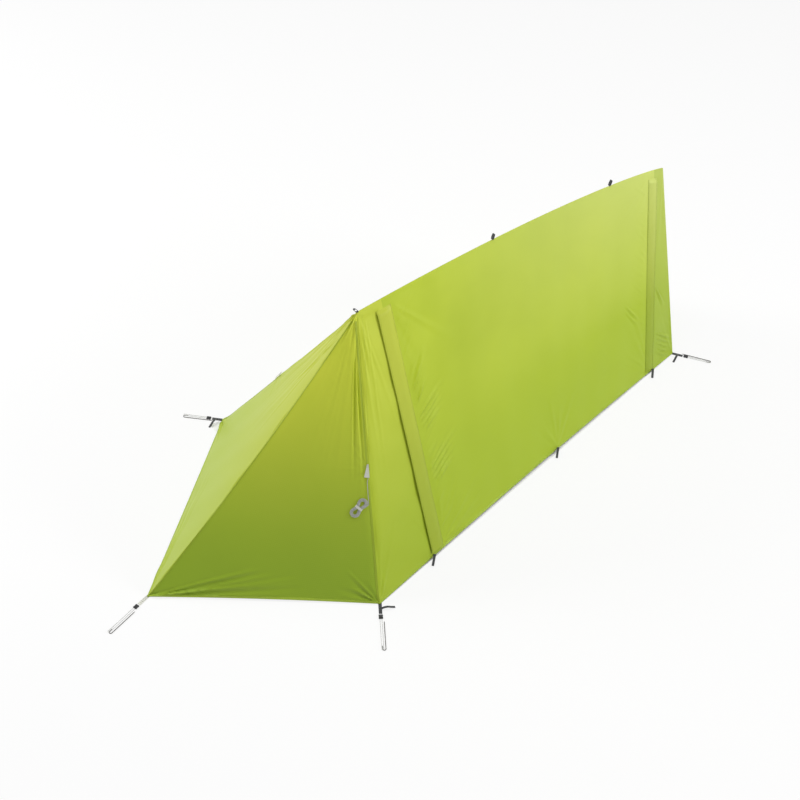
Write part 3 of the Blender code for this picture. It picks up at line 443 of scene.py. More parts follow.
# A strap's section, as shares of its half width and half thickness: the selvedges are rolled
STRAP = np.array(((1.0, 0.45), (0.985, 0.9), (0.90, 1.0), (0.45, 0.94), (0.0, 0.92), (-0.45, 0.94),
                  (-0.90, 1.0), (-0.985, 0.9), (-1.0, 0.45), (-1.0, -0.45), (-0.985, -0.9), (-0.90, -1.0),
                  (0.0, -0.92), (0.90, -1.0), (0.985, -0.9), (1.0, -0.45)))


def strap_sections(path: Array, side: Array, width: Number, thickness: float) -> Array:
    """Rings of points round a path, for a flat strap that lies across one direction."""
    return swept(path, STRAP, np.asarray(width, float) / 2, thickness / 2, side)


def strap_ring(path: Array, side: Array, width: float, thickness: float) -> MeshParts:
    """A closed ring of strap through points round it, which lies across one direction."""
    around = strap_sections(np.concatenate([path[-1:], path, path[:1]]), side, width, thickness)
    return MeshParts().loft(around[1:-1], closed=True)


# Finishes


@dataclass(frozen=True)
class RipstopNylon:
    """Woven ripstop nylon with a thin silicone coat: soft sheen, fine crinkles and a faint thread grid."""

    name: str
    face: str
    deep: str
    # Painted shade: the colour that the cloth darkens to towards the ground
    foot: str
    thread: str = "#D3DE66"
    # Colour of the thin cloth where the light comes through it, near the ridge and towards the rear
    sheer: str = "#D6E07E"
    # Real ripstop squares are 5 mm. They are drawn at 9 mm so that they show a little in the render.
    grid_mm: float = 9.0
    thread_mm: float = 0.8
    crinkle_mm: float = 26.0
    crinkle_depth_mm: float = 0.5
    thread_depth_mm: float = 0.12
    roughness: float = 0.46

    def build(self) -> Material:
        """Builds the material.

        Returns:
            The material.
        """
        # Thin coated cloth gives the eye broad soft highlights, crinkles that catch light and a faint
        # square grid
        material, tree, shader = shader_of(self.name, IOR=1.53, Roughness=self.roughness, Sheen_Weight=0.08,
                                           Sheen_Roughness=0.4, Specular_IOR_Level=0.3)
        place = object_place(tree)
        lines = []
        for axis in axes_of(tree, cloth_place(tree))[:2]:
            cell = reckon(tree, "FRACT", reckon(tree, "MULTIPLY", axis, 1000 / self.grid_mm))
            away = reckon(tree, "ABSOLUTE", reckon(tree, "SUBTRACT", cell, 0.5))
            lines.append(ramp(tree, away, 0.5 - self.thread_mm / self.grid_mm, 0.5, smooth=True))
        grid = reckon(tree, "MAXIMUM", *lines)
        x, _, z = axes_of(tree, place)
        tone = ramp(tree, noise(tree, place, 2.4, 3.0), 0.35, 0.7)
        body = mix_colour(tree, tone, linear(self.face), linear(self.deep))
        # Painted shade: the cloth darkens towards the ground, where the dark inside shows through it
        low = ramp(tree, z, 1.05, 0.05, smooth=True)
        body = mix_colour(tree, reckon(tree, "MULTIPLY", low, 0.9), body, linear(self.foot))
        high, rear = ramp(tree, z, 0.40, 1.10), ramp(tree, x, -0.45, 1.10, last=0.75)
        body = mix_colour(tree, reckon(tree, "MULTIPLY", high, rear), body, linear(self.sheer))
        body = mix_colour(tree, reckon(tree, "MULTIPLY", grid, 0.12), body, linear(self.thread))
        crinkle = noise(tree, place, 1000 / (self.crinkle_mm * 6), 4.0, "RIDGED_MULTIFRACTAL",
                        Roughness=0.55, Distortion=0.8)
        creased = bump(tree, 0.35, self.crinkle_depth_mm, crinkle)
        dressed(tree, shader, Base_Color=body, Normal=bump(tree, 0.5, self.thread_depth_mm, grid, creased))
        return material


@dataclass(frozen=True)
class CoatedCloth:
    """Heavier coated floor cloth: dark, close-woven, with a dull rubbery face."""

    name: str
    face: str
    deep: str
    weave_mm: float = 3.0
    roughness: float = 0.6

    def build(self) -> Material:
        """Builds the material.

        Returns:
            The material.
        """
        # A rubbery coat gives the eye a dark, dull face with long soft wrinkles
        material, tree, shader = shader_of(self.name, IOR=1.5, Roughness=self.roughness)
        place = object_place(tree)
        body = mix_colour(tree, noise(tree, place, 6.0, 5.0), linear(self.face), linear(self.deep))
        weave = add(tree, "ShaderNodeTexChecker", inputs={"Vector": place, "Scale": 1000 / self.weave_mm})
        fine = bump(tree, 0.2, 0.2, weave.outputs[1])
        creased = bump(tree, 0.5, 2.0, noise(tree, place, 14.0, 4.0), fine)
        dressed(tree, shader, Base_Color=body, Normal=creased)
        return material


@dataclass(frozen=True)
class WovenWebbing:
    """Nylon webbing with a herringbone rib that runs along the strap, slightly fuzzy at its edges."""

    name: str
    face: str
    deep: str
    rib_mm: float = 1.6
    roughness: float = 0.78

    def build(self) -> Material:
        """Builds the material.

        Returns:
            The material.
        """
        # Woven tape gives the eye a matt, slanting rib with slightly fuzzy edges
        material, tree, shader = shader_of(self.name, IOR=1.53, Roughness=self.roughness, Sheen_Weight=0.4)
        across, along, _ = axes_of(tree, cloth_place(tree))
        rows = reckon(tree, "ADD", reckon(tree, "PINGPONG", across, self.rib_mm * 2 / 1000), along)
        wave = reckon(tree, "SINE", reckon(tree, "MULTIPLY", rows, 2 * math.pi * 1000 / self.rib_mm))
        rib = ramp(tree, wave, -1.0, 1.0)
        dressed(tree, shader, Base_Color=mix_colour(tree, rib, linear(self.deep), linear(self.face)),
                Normal=bump(tree, 0.6, 0.3, rib))
        return material


@dataclass(frozen=True)
class BraidedCord:
    """Braided guy cord: crossing strands with painted shade between them, and a paler reflective tracer that
    also serves as a painted highlight.
    """

    name: str
    strand: str
    # Painted shade: the dark colour between the strands
    gap: str
    # The reflective tracer's pale colour, which also stands in as a painted highlight
    tracer: str
    # Real plaits on a 2 mm cord are 1.5 mm long. They are drawn at 9 mm so that they show.
    plait_mm: float = 9.0
    roughness: float = 0.6

    def build(self) -> Material:
        """Builds the material.

        Returns:
            The material.
        """
        # A braided sheath gives the eye a plait of light strands with painted shade between them, and pale
        # flecks that are the reflective tracer and a painted highlight
        material, tree, shader = shader_of(self.name, IOR=1.5, Roughness=self.roughness, Sheen_Weight=0.2)
        across, along, _ = axes_of(tree, cloth_place(tree))
        waves = []
        for way in ("ADD", "SUBTRACT"):
            slant = reckon(tree, way, along, across)
            turn = reckon(tree, "MULTIPLY", slant, 2 * math.pi * 1000 / self.plait_mm)
            waves.append(reckon(tree, "SINE", turn))
        strands = ramp(tree, reckon(tree, "MULTIPLY", *waves), -0.7, 0.7)
        # Painted shade: the gaps between the strands are drawn dark
        body = mix_colour(tree, strands, linear(self.gap), linear(self.strand))
        # Pale flecks along one set of strands: the reflective tracer, and a painted highlight
        tracer_and_painted_highlight = reckon(tree, "MULTIPLY", ramp(tree, waves[0], 0.8, 1.0, smooth=True), 0.7)
        dressed(tree, shader, Base_Color=mix_colour(tree, tracer_and_painted_highlight, body, linear(self.tracer)),
                Normal=bump(tree, 0.7, 0.3, strands))
        return material


@dataclass(frozen=True)
class MouldedAcetal:
    """Injection-moulded acetal: a fine spark-eroded grain with a low, waxy shine."""

    name: str
    face: str
    grain_mm: float = 0.5
    roughness: float = 0.42

    def build(self) -> Material:
        """Builds the material.

        Returns:
            The material.
        """
        # Moulded acetal gives the eye an even colour with a waxy shine and hardly any grain
        material, tree, shader = shader_of(self.name, IOR=1.48, Base_Color=linear(self.face))
        grain = noise(tree, object_place(tree), 1000 / self.grain_mm, 2.0)
        rough = ramp(tree, grain, 0.0, 1.0, self.roughness - 0.06, self.roughness + 0.1)
        dressed(tree, shader, Roughness=rough, Normal=bump(tree, 0.15, 0.1, grain))
        return material


@dataclass(frozen=True)
class DrawnMetal:
    """Drawn and anodised tube or bare wire: metal with fine lines left along it by the die."""

    name: str
    face: str
    worn: str
    roughness: float = 0.32
    line_mm: float = 0.6

    def build(self) -> Material:
        """Builds the material.

        Returns:
            The material.
        """
        # Drawn tube and wire give the eye a soft metal shine, broken by fine lines along their length
        material, tree, shader = shader_of(self.name, Metallic=1.0)
        place = object_place(tree)
        stretched = add(tree, "ShaderNodeMapping", inputs={"Vector": place, "Scale": (0.25, 1.0, 0.25)})
        lines = noise(tree, stretched.outputs[0], 1000 / self.line_mm, 3.0)
        wear = ramp(tree, noise(tree, place, 60.0, 5.0), 0.5, 0.75)
        dressed(tree, shader, Base_Color=mix_colour(tree, wear, linear(self.face), linear(self.worn)),
                Roughness=ramp(tree, lines, 0.0, 1.0, self.roughness - 0.08, self.roughness + 0.14))
        return material


class Finishes:
    """Every finish of the tent, built once."""

    def __init__(self) -> None:
        """Builds all the finishes."""
        self.wall = RipstopNylon("lime_ripstop_wall", "#C0D22E", "#B2C622", "#A5BD20").build()
        self.rear = RipstopNylon("lime_ripstop_rear_side", "#B3C63A", "#A9BD32", "#9FB72C",
                                 sheer="#BFCD64").build()
        self.front = RipstopNylon("lime_ripstop_front", "#D0DC40", "#C6D238", "#A2BA24").build()
        # Painted light and shade: the same lime cloth as the wall, drawn brighter high up and much darker at
        # its foot
        self.near_nose_painted_light_and_shade = RipstopNylon("lime_ripstop_near_nose_painted_light_and_shade", "#D8E042", "#CEDA3A", "#84A51C").build()
        # Painted shade: the same lime cloth as the wall, drawn duller so that this panel shows less of the
        # fill lamp's light
        self.far_nose_painted_shade = RipstopNylon("lime_ripstop_far_nose_painted_shade", "#BAC336", "#B5BF34", "#A4B92C").build()
        self.flap = RipstopNylon("lime_ripstop_flap", "#C6D03C", "#BCC636", "#9DB028").build()
        # Painted shade: the felled seams are the same lime cloth, drawn darker for the shade along each seam
        self.seam = RipstopNylon("lime_felled_seam_painted_shade", "#B2C034", "#A8B830", "#96AC28", crinkle_mm=9.0).build()
        self.hem = RipstopNylon("lime_rolled_hem", "#BED050", "#B4C846", "#A6C038", crinkle_mm=9.0).build()
        self.floor = CoatedCloth("grey_coated_floor_cloth", "#3E4145", "#33363A").build()
        self.webbing = WovenWebbing("charcoal_nylon_webbing", "#3C3E42", "#1C1D20").build()
        self.tape = WovenWebbing("pale_grey_seam_tape", "#EBEBDF", "#C9CABF", rib_mm=2.2).build()
        self.cord = BraidedCord("pale_grey_braided_cord", "#DEDFD8", "#5A5C5C", "#FAFAF6").build()
        self.zip_tape = WovenWebbing("olive_zip_tape", "#7A8C1E", "#5F6F16", rib_mm=0.8).build()
        self.zip_coil = MouldedAcetal("olive_nylon_coil", "#56651A", roughness=0.35).build()
        self.thread = MouldedAcetal("lime_polyester_thread", "#8FA31C", roughness=0.55).build()
        self.dark_thread = MouldedAcetal("grey_polyester_thread", "#8B8D8F", roughness=0.6).build()
        self.acetal = MouldedAcetal("black_moulded_acetal", "#17181A").build()
        self.tube = DrawnMetal("grey_anodised_tube", "#6C7075", "#8E9296").build()
        self.wire = DrawnMetal("bare_titanium_wire", "#5E5C59", "#7B7975", roughness=0.40).build()


# The canopy's shape, as pitched


def between(first: Array, last: Array, share: Array) -> Array:
    """Points at a share of the way from the first points to the last."""
    return first * (1 - share)[..., None] + last * share[..., None]


@dataclass(frozen=True)
class Canopy:
    """Sizes of the pitched canopy, and the ruled surfaces that its panels follow."""

    body_length: float = 2.30
    nose_reach: float = 0.826
    front_width: float = 1.344
    rear_width: float = 0.640
    peak_setback: float = 0.368
    front_height: float = 1.098
    rear_height: float = 1.030
    ridge_rise: float = 0.060
    ridge_skew: float = 1.25
    ridge_fullness: float = 0.75
    far_corner_back: float = 0.073
    far_corner_out: float = 0.058
    hem_clearance: float = 0.0028
    hem_lift: float = 0.008
    hem_draw: float = 0.012
    nose_draw: float = 0.005
    # Depth and reach of the rounding along the front seams, and along the fold down to the nose
    seam_round: tuple[float, float] = (0.008, 0.046)
    fold_round: tuple[float, float] = (0.002, 0.012)
    fold_sag: float = 0.032
    sag: float = 0.012
    # X from each zip to its nearer end seam, at the ridge and at the hem
    front_zip: tuple[float, float] = (0.500, 0.400)
    rear_zip: tuple[float, float] = (0.066, 0.205)
    door_top_drop: float = 0.030

    @property
    def front_x(self) -> float:
        """X of the front corners."""
        return -self.body_length / 2

    @property
    def rear_x(self) -> float:
        """X of the rear wall."""
        return self.body_length / 2

    @property
    def peak_x(self) -> float:
        """X of the front peak."""
        return self.front_x + self.peak_setback

    @property
    def peak(self) -> Array:
        """The front peak."""
        return self.ridge(self.peak_x)

    @property
    def nose(self) -> Array:
        """The nose's point on the ground."""
        return np.array((self.front_x - self.nose_reach, 0.0, self.hem_clearance))

    def ridge(self, x: Number) -> Array:
        """Points on the arched ridge.

        Args:
            x: Their X.

        Returns:
            The points.
        """
        x = np.asarray(x, float)
        share = (x - self.peak_x) / (self.rear_x - self.peak_x)
        leant = np.clip(share, 0.0, 1.0) ** self.ridge_skew
        arch = self.ridge_rise * (4 * leant * (1 - leant)) ** self.ridge_fullness
        z = self.front_height + (self.rear_height - self.front_height) * share + arch
        return np.stack([x, np.zeros_like(x), z], axis=-1)

    def hem(self, x: Number, side: int) -> Array:
        """Points on the hem.

        Args:
            x: Their X, before the far corner is set back.
            side: Side of the tent.

        Returns:
            The points.
        """
        x = np.asarray(x, float)
        share = (x - self.front_x) / self.body_length
        arc = 4 * share * (1 - share)
        half = (self.front_width + (self.rear_width - self.front_width) * share) / 2 - self.hem_draw * arc
        if side == FAR:
            x = x + self.far_corner_back * (1 - share)
            half = half + self.far_corner_out * (1 - share)
        return np.stack([x, side * half, self.hem_clearance + self.hem_lift * arc], axis=-1)

    def corner(self, side: int) -> Array:
        """The front corner on one side."""
        return self.hem(self.front_x, side)

    def _softened(self, points: Array, v: Array, side: int, fold: bool = False) -> Array:
        """Rounds the place where two panels meet.

        Args:
            points: Points of a panel.
            v: Their shares of the fall.
            side: Side of the tent.
            fold: Whether the panels meet on the fold down to the nose, and not on a front seam.

        Returns:
            The points, drawn in towards the tent near that edge.
        """
        foot, depth, reach = (self.nose, *self.fold_round) if fold else (self.corner(side), *self.seam_round)
        # A point of each panel, away from the edge where they meet
        wall = self.hem(self.front_x + 0.4, side)
        others = (self.corner(side), self.corner(-side)) if fold else (self.nose, wall)
        along = unit(foot - self.peak)
        ways = [unit(p - foot - along * (p - foot).dot(along)) for p in others]
        line = self.peak + (foot - self.peak) * v[..., None]
        share = np.clip(1 - np.linalg.norm(points - line, axis=-1) / reach, 0, 1) ** 2
        share = share * rise(v, 0.0, 0.10) * (1 - rise(v, 0.93, 1.0))
        return points + (depth * share)[..., None] * unit(ways[0] + ways[1])

    @property
    def rulings(self) -> Array:
        """Ridge and hem X of the front seam, front zip, rear zip and rear seam."""
        return np.array(((self.peak_x, self.front_x),
                         (self.front_x + self.front_zip[0], self.front_x + self.front_zip[1]),
                         (self.rear_x - self.rear_zip[0], self.rear_x - self.rear_zip[1]),
                         (self.rear_x, self.rear_x)))

    def near(self, s: Number, v: Number) -> Array:
        """Points of the near wall.

        Args:
            s: Rulings counted from the front seam.
            v: Share of the fall from ridge to hem.

        Returns:
            The points.
        """
        s, v = pair(s, v)
        lines = self.rulings
        first = np.clip(np.floor(s).astype(int), 0, 2)
        at = lines[first] + (lines[first + 1] - lines[first]) * (s - first)[..., None]
        points = between(self.ridge(at[..., 0]), self.hem(at[..., 1], NEAR), v)
        inside = np.clip(s - 1, 0, 1)
        points[..., 1] += self.sag * np.sin(math.pi * inside) * np.sin(math.pi * v) ** 2
        return self._softened(points, v, NEAR)

    def far(self, u: Number, v: Number) -> Array:
        """Points of the far wall.

        Args:
            u: Share of the way from the front seam to the rear seam.
            v: Share of the fall from ridge to hem.

        Returns:
            The points.
        """
        u, v = pair(u, v)
        ridge_x = self.peak_x + (self.rear_x - self.peak_x) * u
        points = between(self.ridge(ridge_x), self.hem(self.front_x + self.body_length * u, FAR), v)
        points[..., 1] -= self.sag * np.sin(math.pi * u) * np.sin(math.pi * v) ** 2
        return self._softened(points, v, FAR)

    def nose_wall(self, side: int, u: Number, v: Number) -> Array:
        """Points of one nose panel.

        Args:
            side: Side of the tent.
            u: Share of the way from the front seam to the fold down to the nose.
            v: Share of the fall from the peak.

        Returns:
            The points.
        """
        u, v = pair(u, v)
        peak = self.peak
        seam = peak + (self.corner(side) - peak) * v[..., None]
        fold = peak + (self.nose - peak) * v[..., None]
        arc = (4 * u * (1 - u) * v ** 6)[..., None]
        inward = unit(np.array((self.nose_reach, -side * self.front_width / 2, 0.0)))
        points = between(seam, fold, u) + arc * (inward * self.nose_draw + np.array((0, 0, self.hem_lift)))
        points = self._softened(self._softened(points, v, side), v, side, fold=True)
        # The fold hangs a little inwards between the peak and the nose
        run = unit(self.nose - peak)
        slack = self.fold_sag * u ** 3 * np.sin(math.pi * v)
        return points + slack[..., None] * np.array((-run[2], 0.0, run[0]))

    def rear_wall(self, u: Number, v: Number) -> Array:
        """Points of the upright rear wall.

        Args:
            u: Share of the way from the near side to the far side.
            v: Share of the fall from the ridge.

        Returns:
            The points.
        """
        u, v = pair(u, v)
        peak = self.ridge(self.rear_x)
        near, far = (peak + (self.hem(self.rear_x, side) - peak) * v[..., None] for side in (NEAR, FAR))
        points = between(near, far, u)
        points[..., 2] += self.hem_lift * 4 * u * (1 - u) * v ** 6
        return points

    def fall(self, key: int) -> float:
        """Length of a ruling from ridge to hem."""
        ridge_x, hem_x = self.rulings[key]
        return float(np.linalg.norm(self.ridge(ridge_x) - self.hem(hem_x, NEAR)))

    def beside(self, key: int, distance: Number, v: Number) -> Array:
        """The ruling that lies beside a key ruling.

        Args:
            key: The key ruling.
            distance: Distance from it along X.
            v: Share of the fall at which the distance is measured.

        Returns:
            The ruling, as the near wall counts them.
        """
        lines = self.rulings
        distance, v = pair(distance, v)
        panel = np.clip(np.where(distance >= 0, key, key - 1), 0, 2)
        at_ridge, at_hem = np.moveaxis(lines[panel + 1] - lines[panel], -1, 0)
        return key + distance / (at_ridge * (1 - v) + at_hem * v)

    def near_normal(self, s: Array, v: Array) -> Array:
        """Outward normals of the near wall.

        Args:
            s: Rulings counted from the front seam.
            v: Share of the fall from ridge to hem.

        Returns:
            The normals.
        """
        step = 0.002
        along = self.near(s + step, v) - self.near(s - step, v)
        down = self.near(s, v + step) - self.near(s, v - step)
        normal = unit(np.cross(along, down))
        return np.where(normal[..., 1:2] < 0, normal, -normal)


# Cloth: folds, sheets, felled seams and stitching


@dataclass(frozen=True)
class Fold:
    """One tension fold: a soft crest that leaves a held point, widens and fades out."""

    start: tuple[float, float, float]
    end: tuple[float, float, float]
    width: float
    depth: float

    def lift(self, points: Array, normals: Array) -> Array:
        """How far the fold raises points.

        Args:
            points: The points.
            normals: The normals along which they rise.

        Returns:
            The heights.
        """
        start = np.array(self.start)
        run = np.array(self.end) - start
        length = np.linalg.norm(run)
        away = points - start
        along = (away @ run) / length ** 2
        side = np.cross(normals, run / length)
        inside = np.clip(along, 0.0, 1.0)
        across = np.abs((away * side).sum(axis=-1)) / (self.width * (0.35 + 0.65 * inside))
        # A shallow dip runs along each side of the crest
        crest = np.exp(-1.3 * across) - 0.45 * np.exp(-((across - 1.35) ** 2) / 0.4)
        fade = np.where((along > 0) & (along < 1), np.sin(math.pi * inside ** 0.6), 0.0)
        return self.depth * crest * fade


def fan(anchor: Array, toward: Array, normal: Array, spread: float, count: int, reach: float, width: float,
        depth: float, seed: int) -> list[Fold]:
    """Folds that leave one held point in a fan.

    Args:
        anchor: The held point.
        toward: A point in the middle of the fan.
        normal: The panel's normal there.
        spread: Whole angle of the fan, in degrees.
        count: Number of folds.
        reach: Length of the longest fold.
        width: Half width of a fold at its far end.
        depth: Height of the highest fold.
        seed: Seed of their small differences.

    Returns:
        The folds.
    """
    dice = random.Random(seed)
    middle = unit(np.asarray(toward, float) - anchor)
    side = unit(np.cross(normal, middle))
    folds = []
    for k in range(count):
        share = (k + 0.5) / count - 0.5 + dice.uniform(-0.35, 0.35) / count
        angle = math.radians(spread) * share
        way = middle * math.cos(angle) + side * math.sin(angle)
        end = anchor + way * (reach * dice.uniform(0.55, 1.0))
        # One fold in four is a valley
        size = dice.uniform(0.55, 1.0) * (1 if dice.random() > 0.25 else -0.7)
        folds.append(Fold(tuple(anchor), tuple(end), width * dice.uniform(0.6, 1.1), depth * size))
    return folds


def fans(normal: Array, *rows: tuple) -> list[Fold]:
    """Fans of folds on one panel, whose rows are the arguments of fan without the normal."""
    return [fold for anchor, toward, *sizes in rows for fold in fan(anchor, toward, normal, *sizes)]


def crease(surface: Surface, start: tuple[float, float], end: tuple[float, float], width: float, depth: float,
           count: int = 1, gap: float = 0.02) -> list[Fold]:
    """Narrow creases that lie side by side.

    Args:
        surface: The panel that they lie on.
        start: The place of the first one's start on the panel.
        end: The place of its end.
        width: Half width of a crease.
        depth: Its height, or less than nought for a valley.
        count: Number of creases.
        gap: How much further down the panel each next one lies.

    Returns:
        The creases.
    """
    folds = []
    run = np.array(end) - np.array(start)
    for k in range(count):
        first = np.array(start) + run * (0.05 * k if k % 2 else 0.0)
        last = np.array(start) + run * (1 - 0.09 * k * (0.5 + 0.5 * (k % 2)))
        ends = [tuple(surface(np.array(u), np.array(v + gap * k))) for u, v in (first, last)]
        folds.append(Fold(*ends, width, depth * (1 - 0.15 * (k % 3))))
    return folds


def creases(surface: Surface, *rows: tuple) -> list[Fold]:
    """Sets of creases on one panel, whose rows are the arguments of crease without the panel."""
    return [fold for row in rows for fold in crease(surface, *row)]


class Edge(Enum):
    """An edge of a sheet's grid."""

    LEFT = "left"
    RIGHT = "right"
    TOP = "top"
    BOTTOM = "bottom"


@dataclass
class ClothSheet:
    """One cut piece of cloth that follows a surface, with its folds, its thickness and its flat UV map."""

    name: str
    surface: Surface
    columns: int
    rows: int
    folds: list[Fold] = field(default_factory=list)
    # For each edge, how far in the folds lie still, and how far in they are free
    calm: dict[Edge, tuple[float, float]] = field(default_factory=dict)
    thickness: float = 0.0005
    ripple: float = 0.0009
    seed: int = 1
    pointed: bool = False
    # How far the grid's columns crowd towards the two side edges
    crowd: float = 0.5

    def spans(self, u: Array, v: Array) -> tuple[Array, Array]:
        """Width of the sheet at v and its height at u."""
        width = np.linalg.norm(self.surface(np.ones_like(v), v) - self.surface(np.zeros_like(v), v), axis=-1)
        height = np.linalg.norm(self.surface(u, np.ones_like(u)) - self.surface(u, np.zeros_like(u)), axis=-1)
        return width, height

    def normals(self, u: Array, v: Array) -> Array:
        """Outward normals of the unfolded surface.

        Args:
            u: Shares across the sheet.
            v: Shares down it.

        Returns:
            The normals.
        """
        step = 0.002
        low = np.clip(v, 0.03, 1.0)
        along = self.surface(np.minimum(u + step, 1), low) - self.surface(np.maximum(u - step, 0), low)
        down = self.surface(u, np.minimum(low + step, 1)) - self.surface(u, low - step)
        normal = unit(np.cross(along, down))
        half, deep = np.array(0.5), np.array(0.6)
        middle = self.surface(half, deep)
        centre = np.cross(self.surface(half + step, deep) - middle, self.surface(half, deep + step) - middle)
        return normal if centre.dot(middle - INSIDE) > 0 else -normal

    def hush(self, u: Array, v: Array) -> Array:
        """Share of the folds that the nearby seams let through.

        Args:
            u: Shares across the sheet.
            v: Shares down it.

        Returns:
            Shares from nought to one.
        """
        width, height = self.spans(u, v)
        reach = {Edge.LEFT: u * width, Edge.RIGHT: (1 - u) * width,
                 Edge.TOP: v * height, Edge.BOTTOM: (1 - v) * height}
        share = np.ones_like(u)
        for edge, (still, free) in self.calm.items():
            share = share * rise(reach[edge], still, free)
        return share

    def drape(self, u: Array, v: Array, lift: Number = 0.0) -> Array:
        """Points of the folded sheet.

        Args:
            u: Shares across the sheet.
            v: Shares down it.
            lift: How far they lie off its outer face.

        Returns:
            The points.
        """
        points = self.surface(u, v)
        normals = self.normals(u, v)
        width, height = self.spans(u, v)
        dice = random.Random(self.seed)
        wave = np.zeros_like(u)
        for _ in range(7):
            angle = dice.uniform(0, math.pi)
            count = 2 * math.pi / dice.uniform(0.16, 0.62)
            flat = (u * width) * math.cos(angle) + (v * height) * math.sin(angle)
            wave += dice.uniform(0.3, 1.0) * np.sin(count * flat + dice.uniform(0, 6.28))
        rises = wave * self.ripple
        for fold in self.folds:
            rises = rises + fold.lift(points, normals)
        return points + normals * (rises * self.hush(u, v) + lift)[..., None]

    def build(self, material: Material) -> Item:
        """Builds the sheet as a closed thin shell.

        Args:
            material: Its finish.

        Returns:
            The sheet.
        """
        even = np.linspace(0, 1, self.columns + 1)
        shares = even - self.crowd * np.sin(2 * math.pi * even) / (2 * math.pi)
        v, u = np.meshgrid(np.linspace(0, 1, self.rows + 1), shares, indexing="ij")
        faces_of_cloth = [self.drape(u, v, lift).reshape(-1, 3) for lift in (0.0, -self.thickness)]
        width, height = self.spans(u, v)
        coords = np.stack([(u - 0.5) * width, v * height], axis=-1).reshape(-1, 2)
        size = u.size
        index = np.arange(size).reshape(u.shape)
        a, b, d, e = index[:-1, :-1], index[:-1, 1:], index[1:, :-1], index[1:, 1:]
        face = np.stack([a, d, e, b], axis=-1).reshape(-1, 4)
        rim = np.concatenate([index[0, :], index[1:, -1], index[-1, -2::-1], index[-2:0:-1, 0]])
        after = np.roll(rim, -1)
        walls = np.stack([rim, after, after + size, rim + size], axis=-1)
        faces = face.tolist() + (face[:, ::-1] + size).tolist() + walls.tolist()
        parts = MeshParts()
        parts.add(np.concatenate(faces_of_cloth), faces, np.concatenate([coords, coords]))
        return parts.object(self.name, material, merge=2e-5 if self.pointed else 0.0, angle=60)

    def declare(self, item: Item, resting: str) -> None:
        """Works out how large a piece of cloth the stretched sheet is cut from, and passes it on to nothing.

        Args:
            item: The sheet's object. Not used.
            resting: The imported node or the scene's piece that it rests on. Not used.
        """
        v, u = np.meshgrid(np.linspace(0, 1, 41), np.linspace(0, 1, 41), indexing="ij")
        points = self.surface(u, v)
        width, length = (float(span.max()) for span in self.spans(u, v))

    def place(self, edge: Edge, share: Array, distance: Number) -> tuple[Array, Array]:
        """A place at a distance in from an edge.

        Args:
            edge: The edge.
            share: Share of the way along it.
            distance: Distance in from it.

        Returns:
            The place's u and v.
        """
        share, distance = pair(share, distance)
        width, height = self.spans(share, share)
        if edge in (Edge.LEFT, Edge.RIGHT):
            away = np.clip(distance / np.maximum(width, 1e-4), 0, 0.5)
            return (away if edge is Edge.LEFT else 1 - away), share
        away = distance / height
        return share, (away if edge is Edge.TOP else 1 - away)


@dataclass
class FelledSeam:
    """A folded band of cloth that lies on a sheet along one edge, with its two rows of stitching."""

    sheet: ClothSheet
    edge: Edge
    inner: float = 0.0015
    outer: float = 0.0115
    lift: float = 0.0010
    start: float = 0.0
    stop: float = 1.0
    pucker: float = 0.0004
    step: float = 0.012
    # Share of its width that the band loses from its start to its stop
    taper: float = 0.0
    # A hanging hem reaches down from the panel's edge to just above the ground
    hang: bool = False

    @property
    def kind(self) -> str:
        """What the band is: a hem, a reinforcement or a felled seam."""
        return "hems" if self.hang else "reinforcements" if self.taper else "felled_seams"

    def _shares(self) -> Array:
        """Shares of the edge at which the band has a section."""
        width, height = self.sheet.spans(np.array(0.5), np.array(1.0))
        length = float(height if self.edge in (Edge.LEFT, Edge.RIGHT) else width)
        return np.linspace(self.start, self.stop, max(8, int(length / self.step)))

    def _start(self, shares: Array) -> Array:
        """Distance of the band's outer edge from the panel's edge.

        Args:
            shares: Shares of the edge.

        Returns:
            The distances, less than nought below a hanging hem's edge.
        """
        if not self.hang:
            return np.full(len(shares), self.inner)
        low = self.sheet.surface(shares, np.ones_like(shares))
        rising = self.sheet.surface(shares, np.full_like(shares, 0.98)) - low
        return -0.3 * (low[:, 2] - 0.0012) * np.linalg.norm(rising, axis=1) / rising[:, 2]

    def _end(self, shares: Array) -> Array:
        """Distance of the band's inner edge from the panel's edge."""
        return self.outer * (1 - self.taper * rise(shares, self.start, self.stop))

    def band(self, parts: MeshParts) -> None:
        """Adds the band to a mesh.

        Args:
            parts: The mesh.
        """
        shares = self._shares()
        start, outer = self._start(shares), self._end(shares)
        roll = 0.0012
        wave = self.pucker * np.sin(np.arange(len(shares)) * 2.1) * np.sin(np.arange(len(shares)) * 0.37)
        wide = outer - start - 2 * roll
        steps = max(2, round((self.outer - self.inner) / 0.005))
        ring = [(start, 0.0), (start + roll * 0.3, self.lift * 0.8), (start + roll, self.lift)]
        ring += [(start + roll + wide * k / steps, self.lift * 0.9) for k in range(1, steps)]
        ring += [(outer - roll, self.lift), (outer - roll * 0.3, self.lift * 0.8), (outer, 0.0)]
        sections = []
        for distance, lift in ring:
            u, v = self.sheet.place(self.edge, shares, distance)
            sections.append(self.sheet.drape(u, v, lift + 0.00008 + (wave if lift else 0.0)))
        parts.loft(np.stack(sections, axis=1))

    def rows(self) -> list[Array]:
        """The two rows of stitching on the band, as lines of points.

        Returns:
            The rows.
        """
        shares = self._shares()
        lines = []
        for distance in (self._start(shares) + 0.0020, self._end(shares) - 0.0020):
            u, v = self.sheet.place(self.edge, shares, distance)
            lines.append(self.sheet.drape(u, v, self.lift + 0.0002))
        return lines


class Bead(Enum):
    """What a repeater sets along its lines."""

    STITCH = "stitch"
    TOOTH = "tooth"


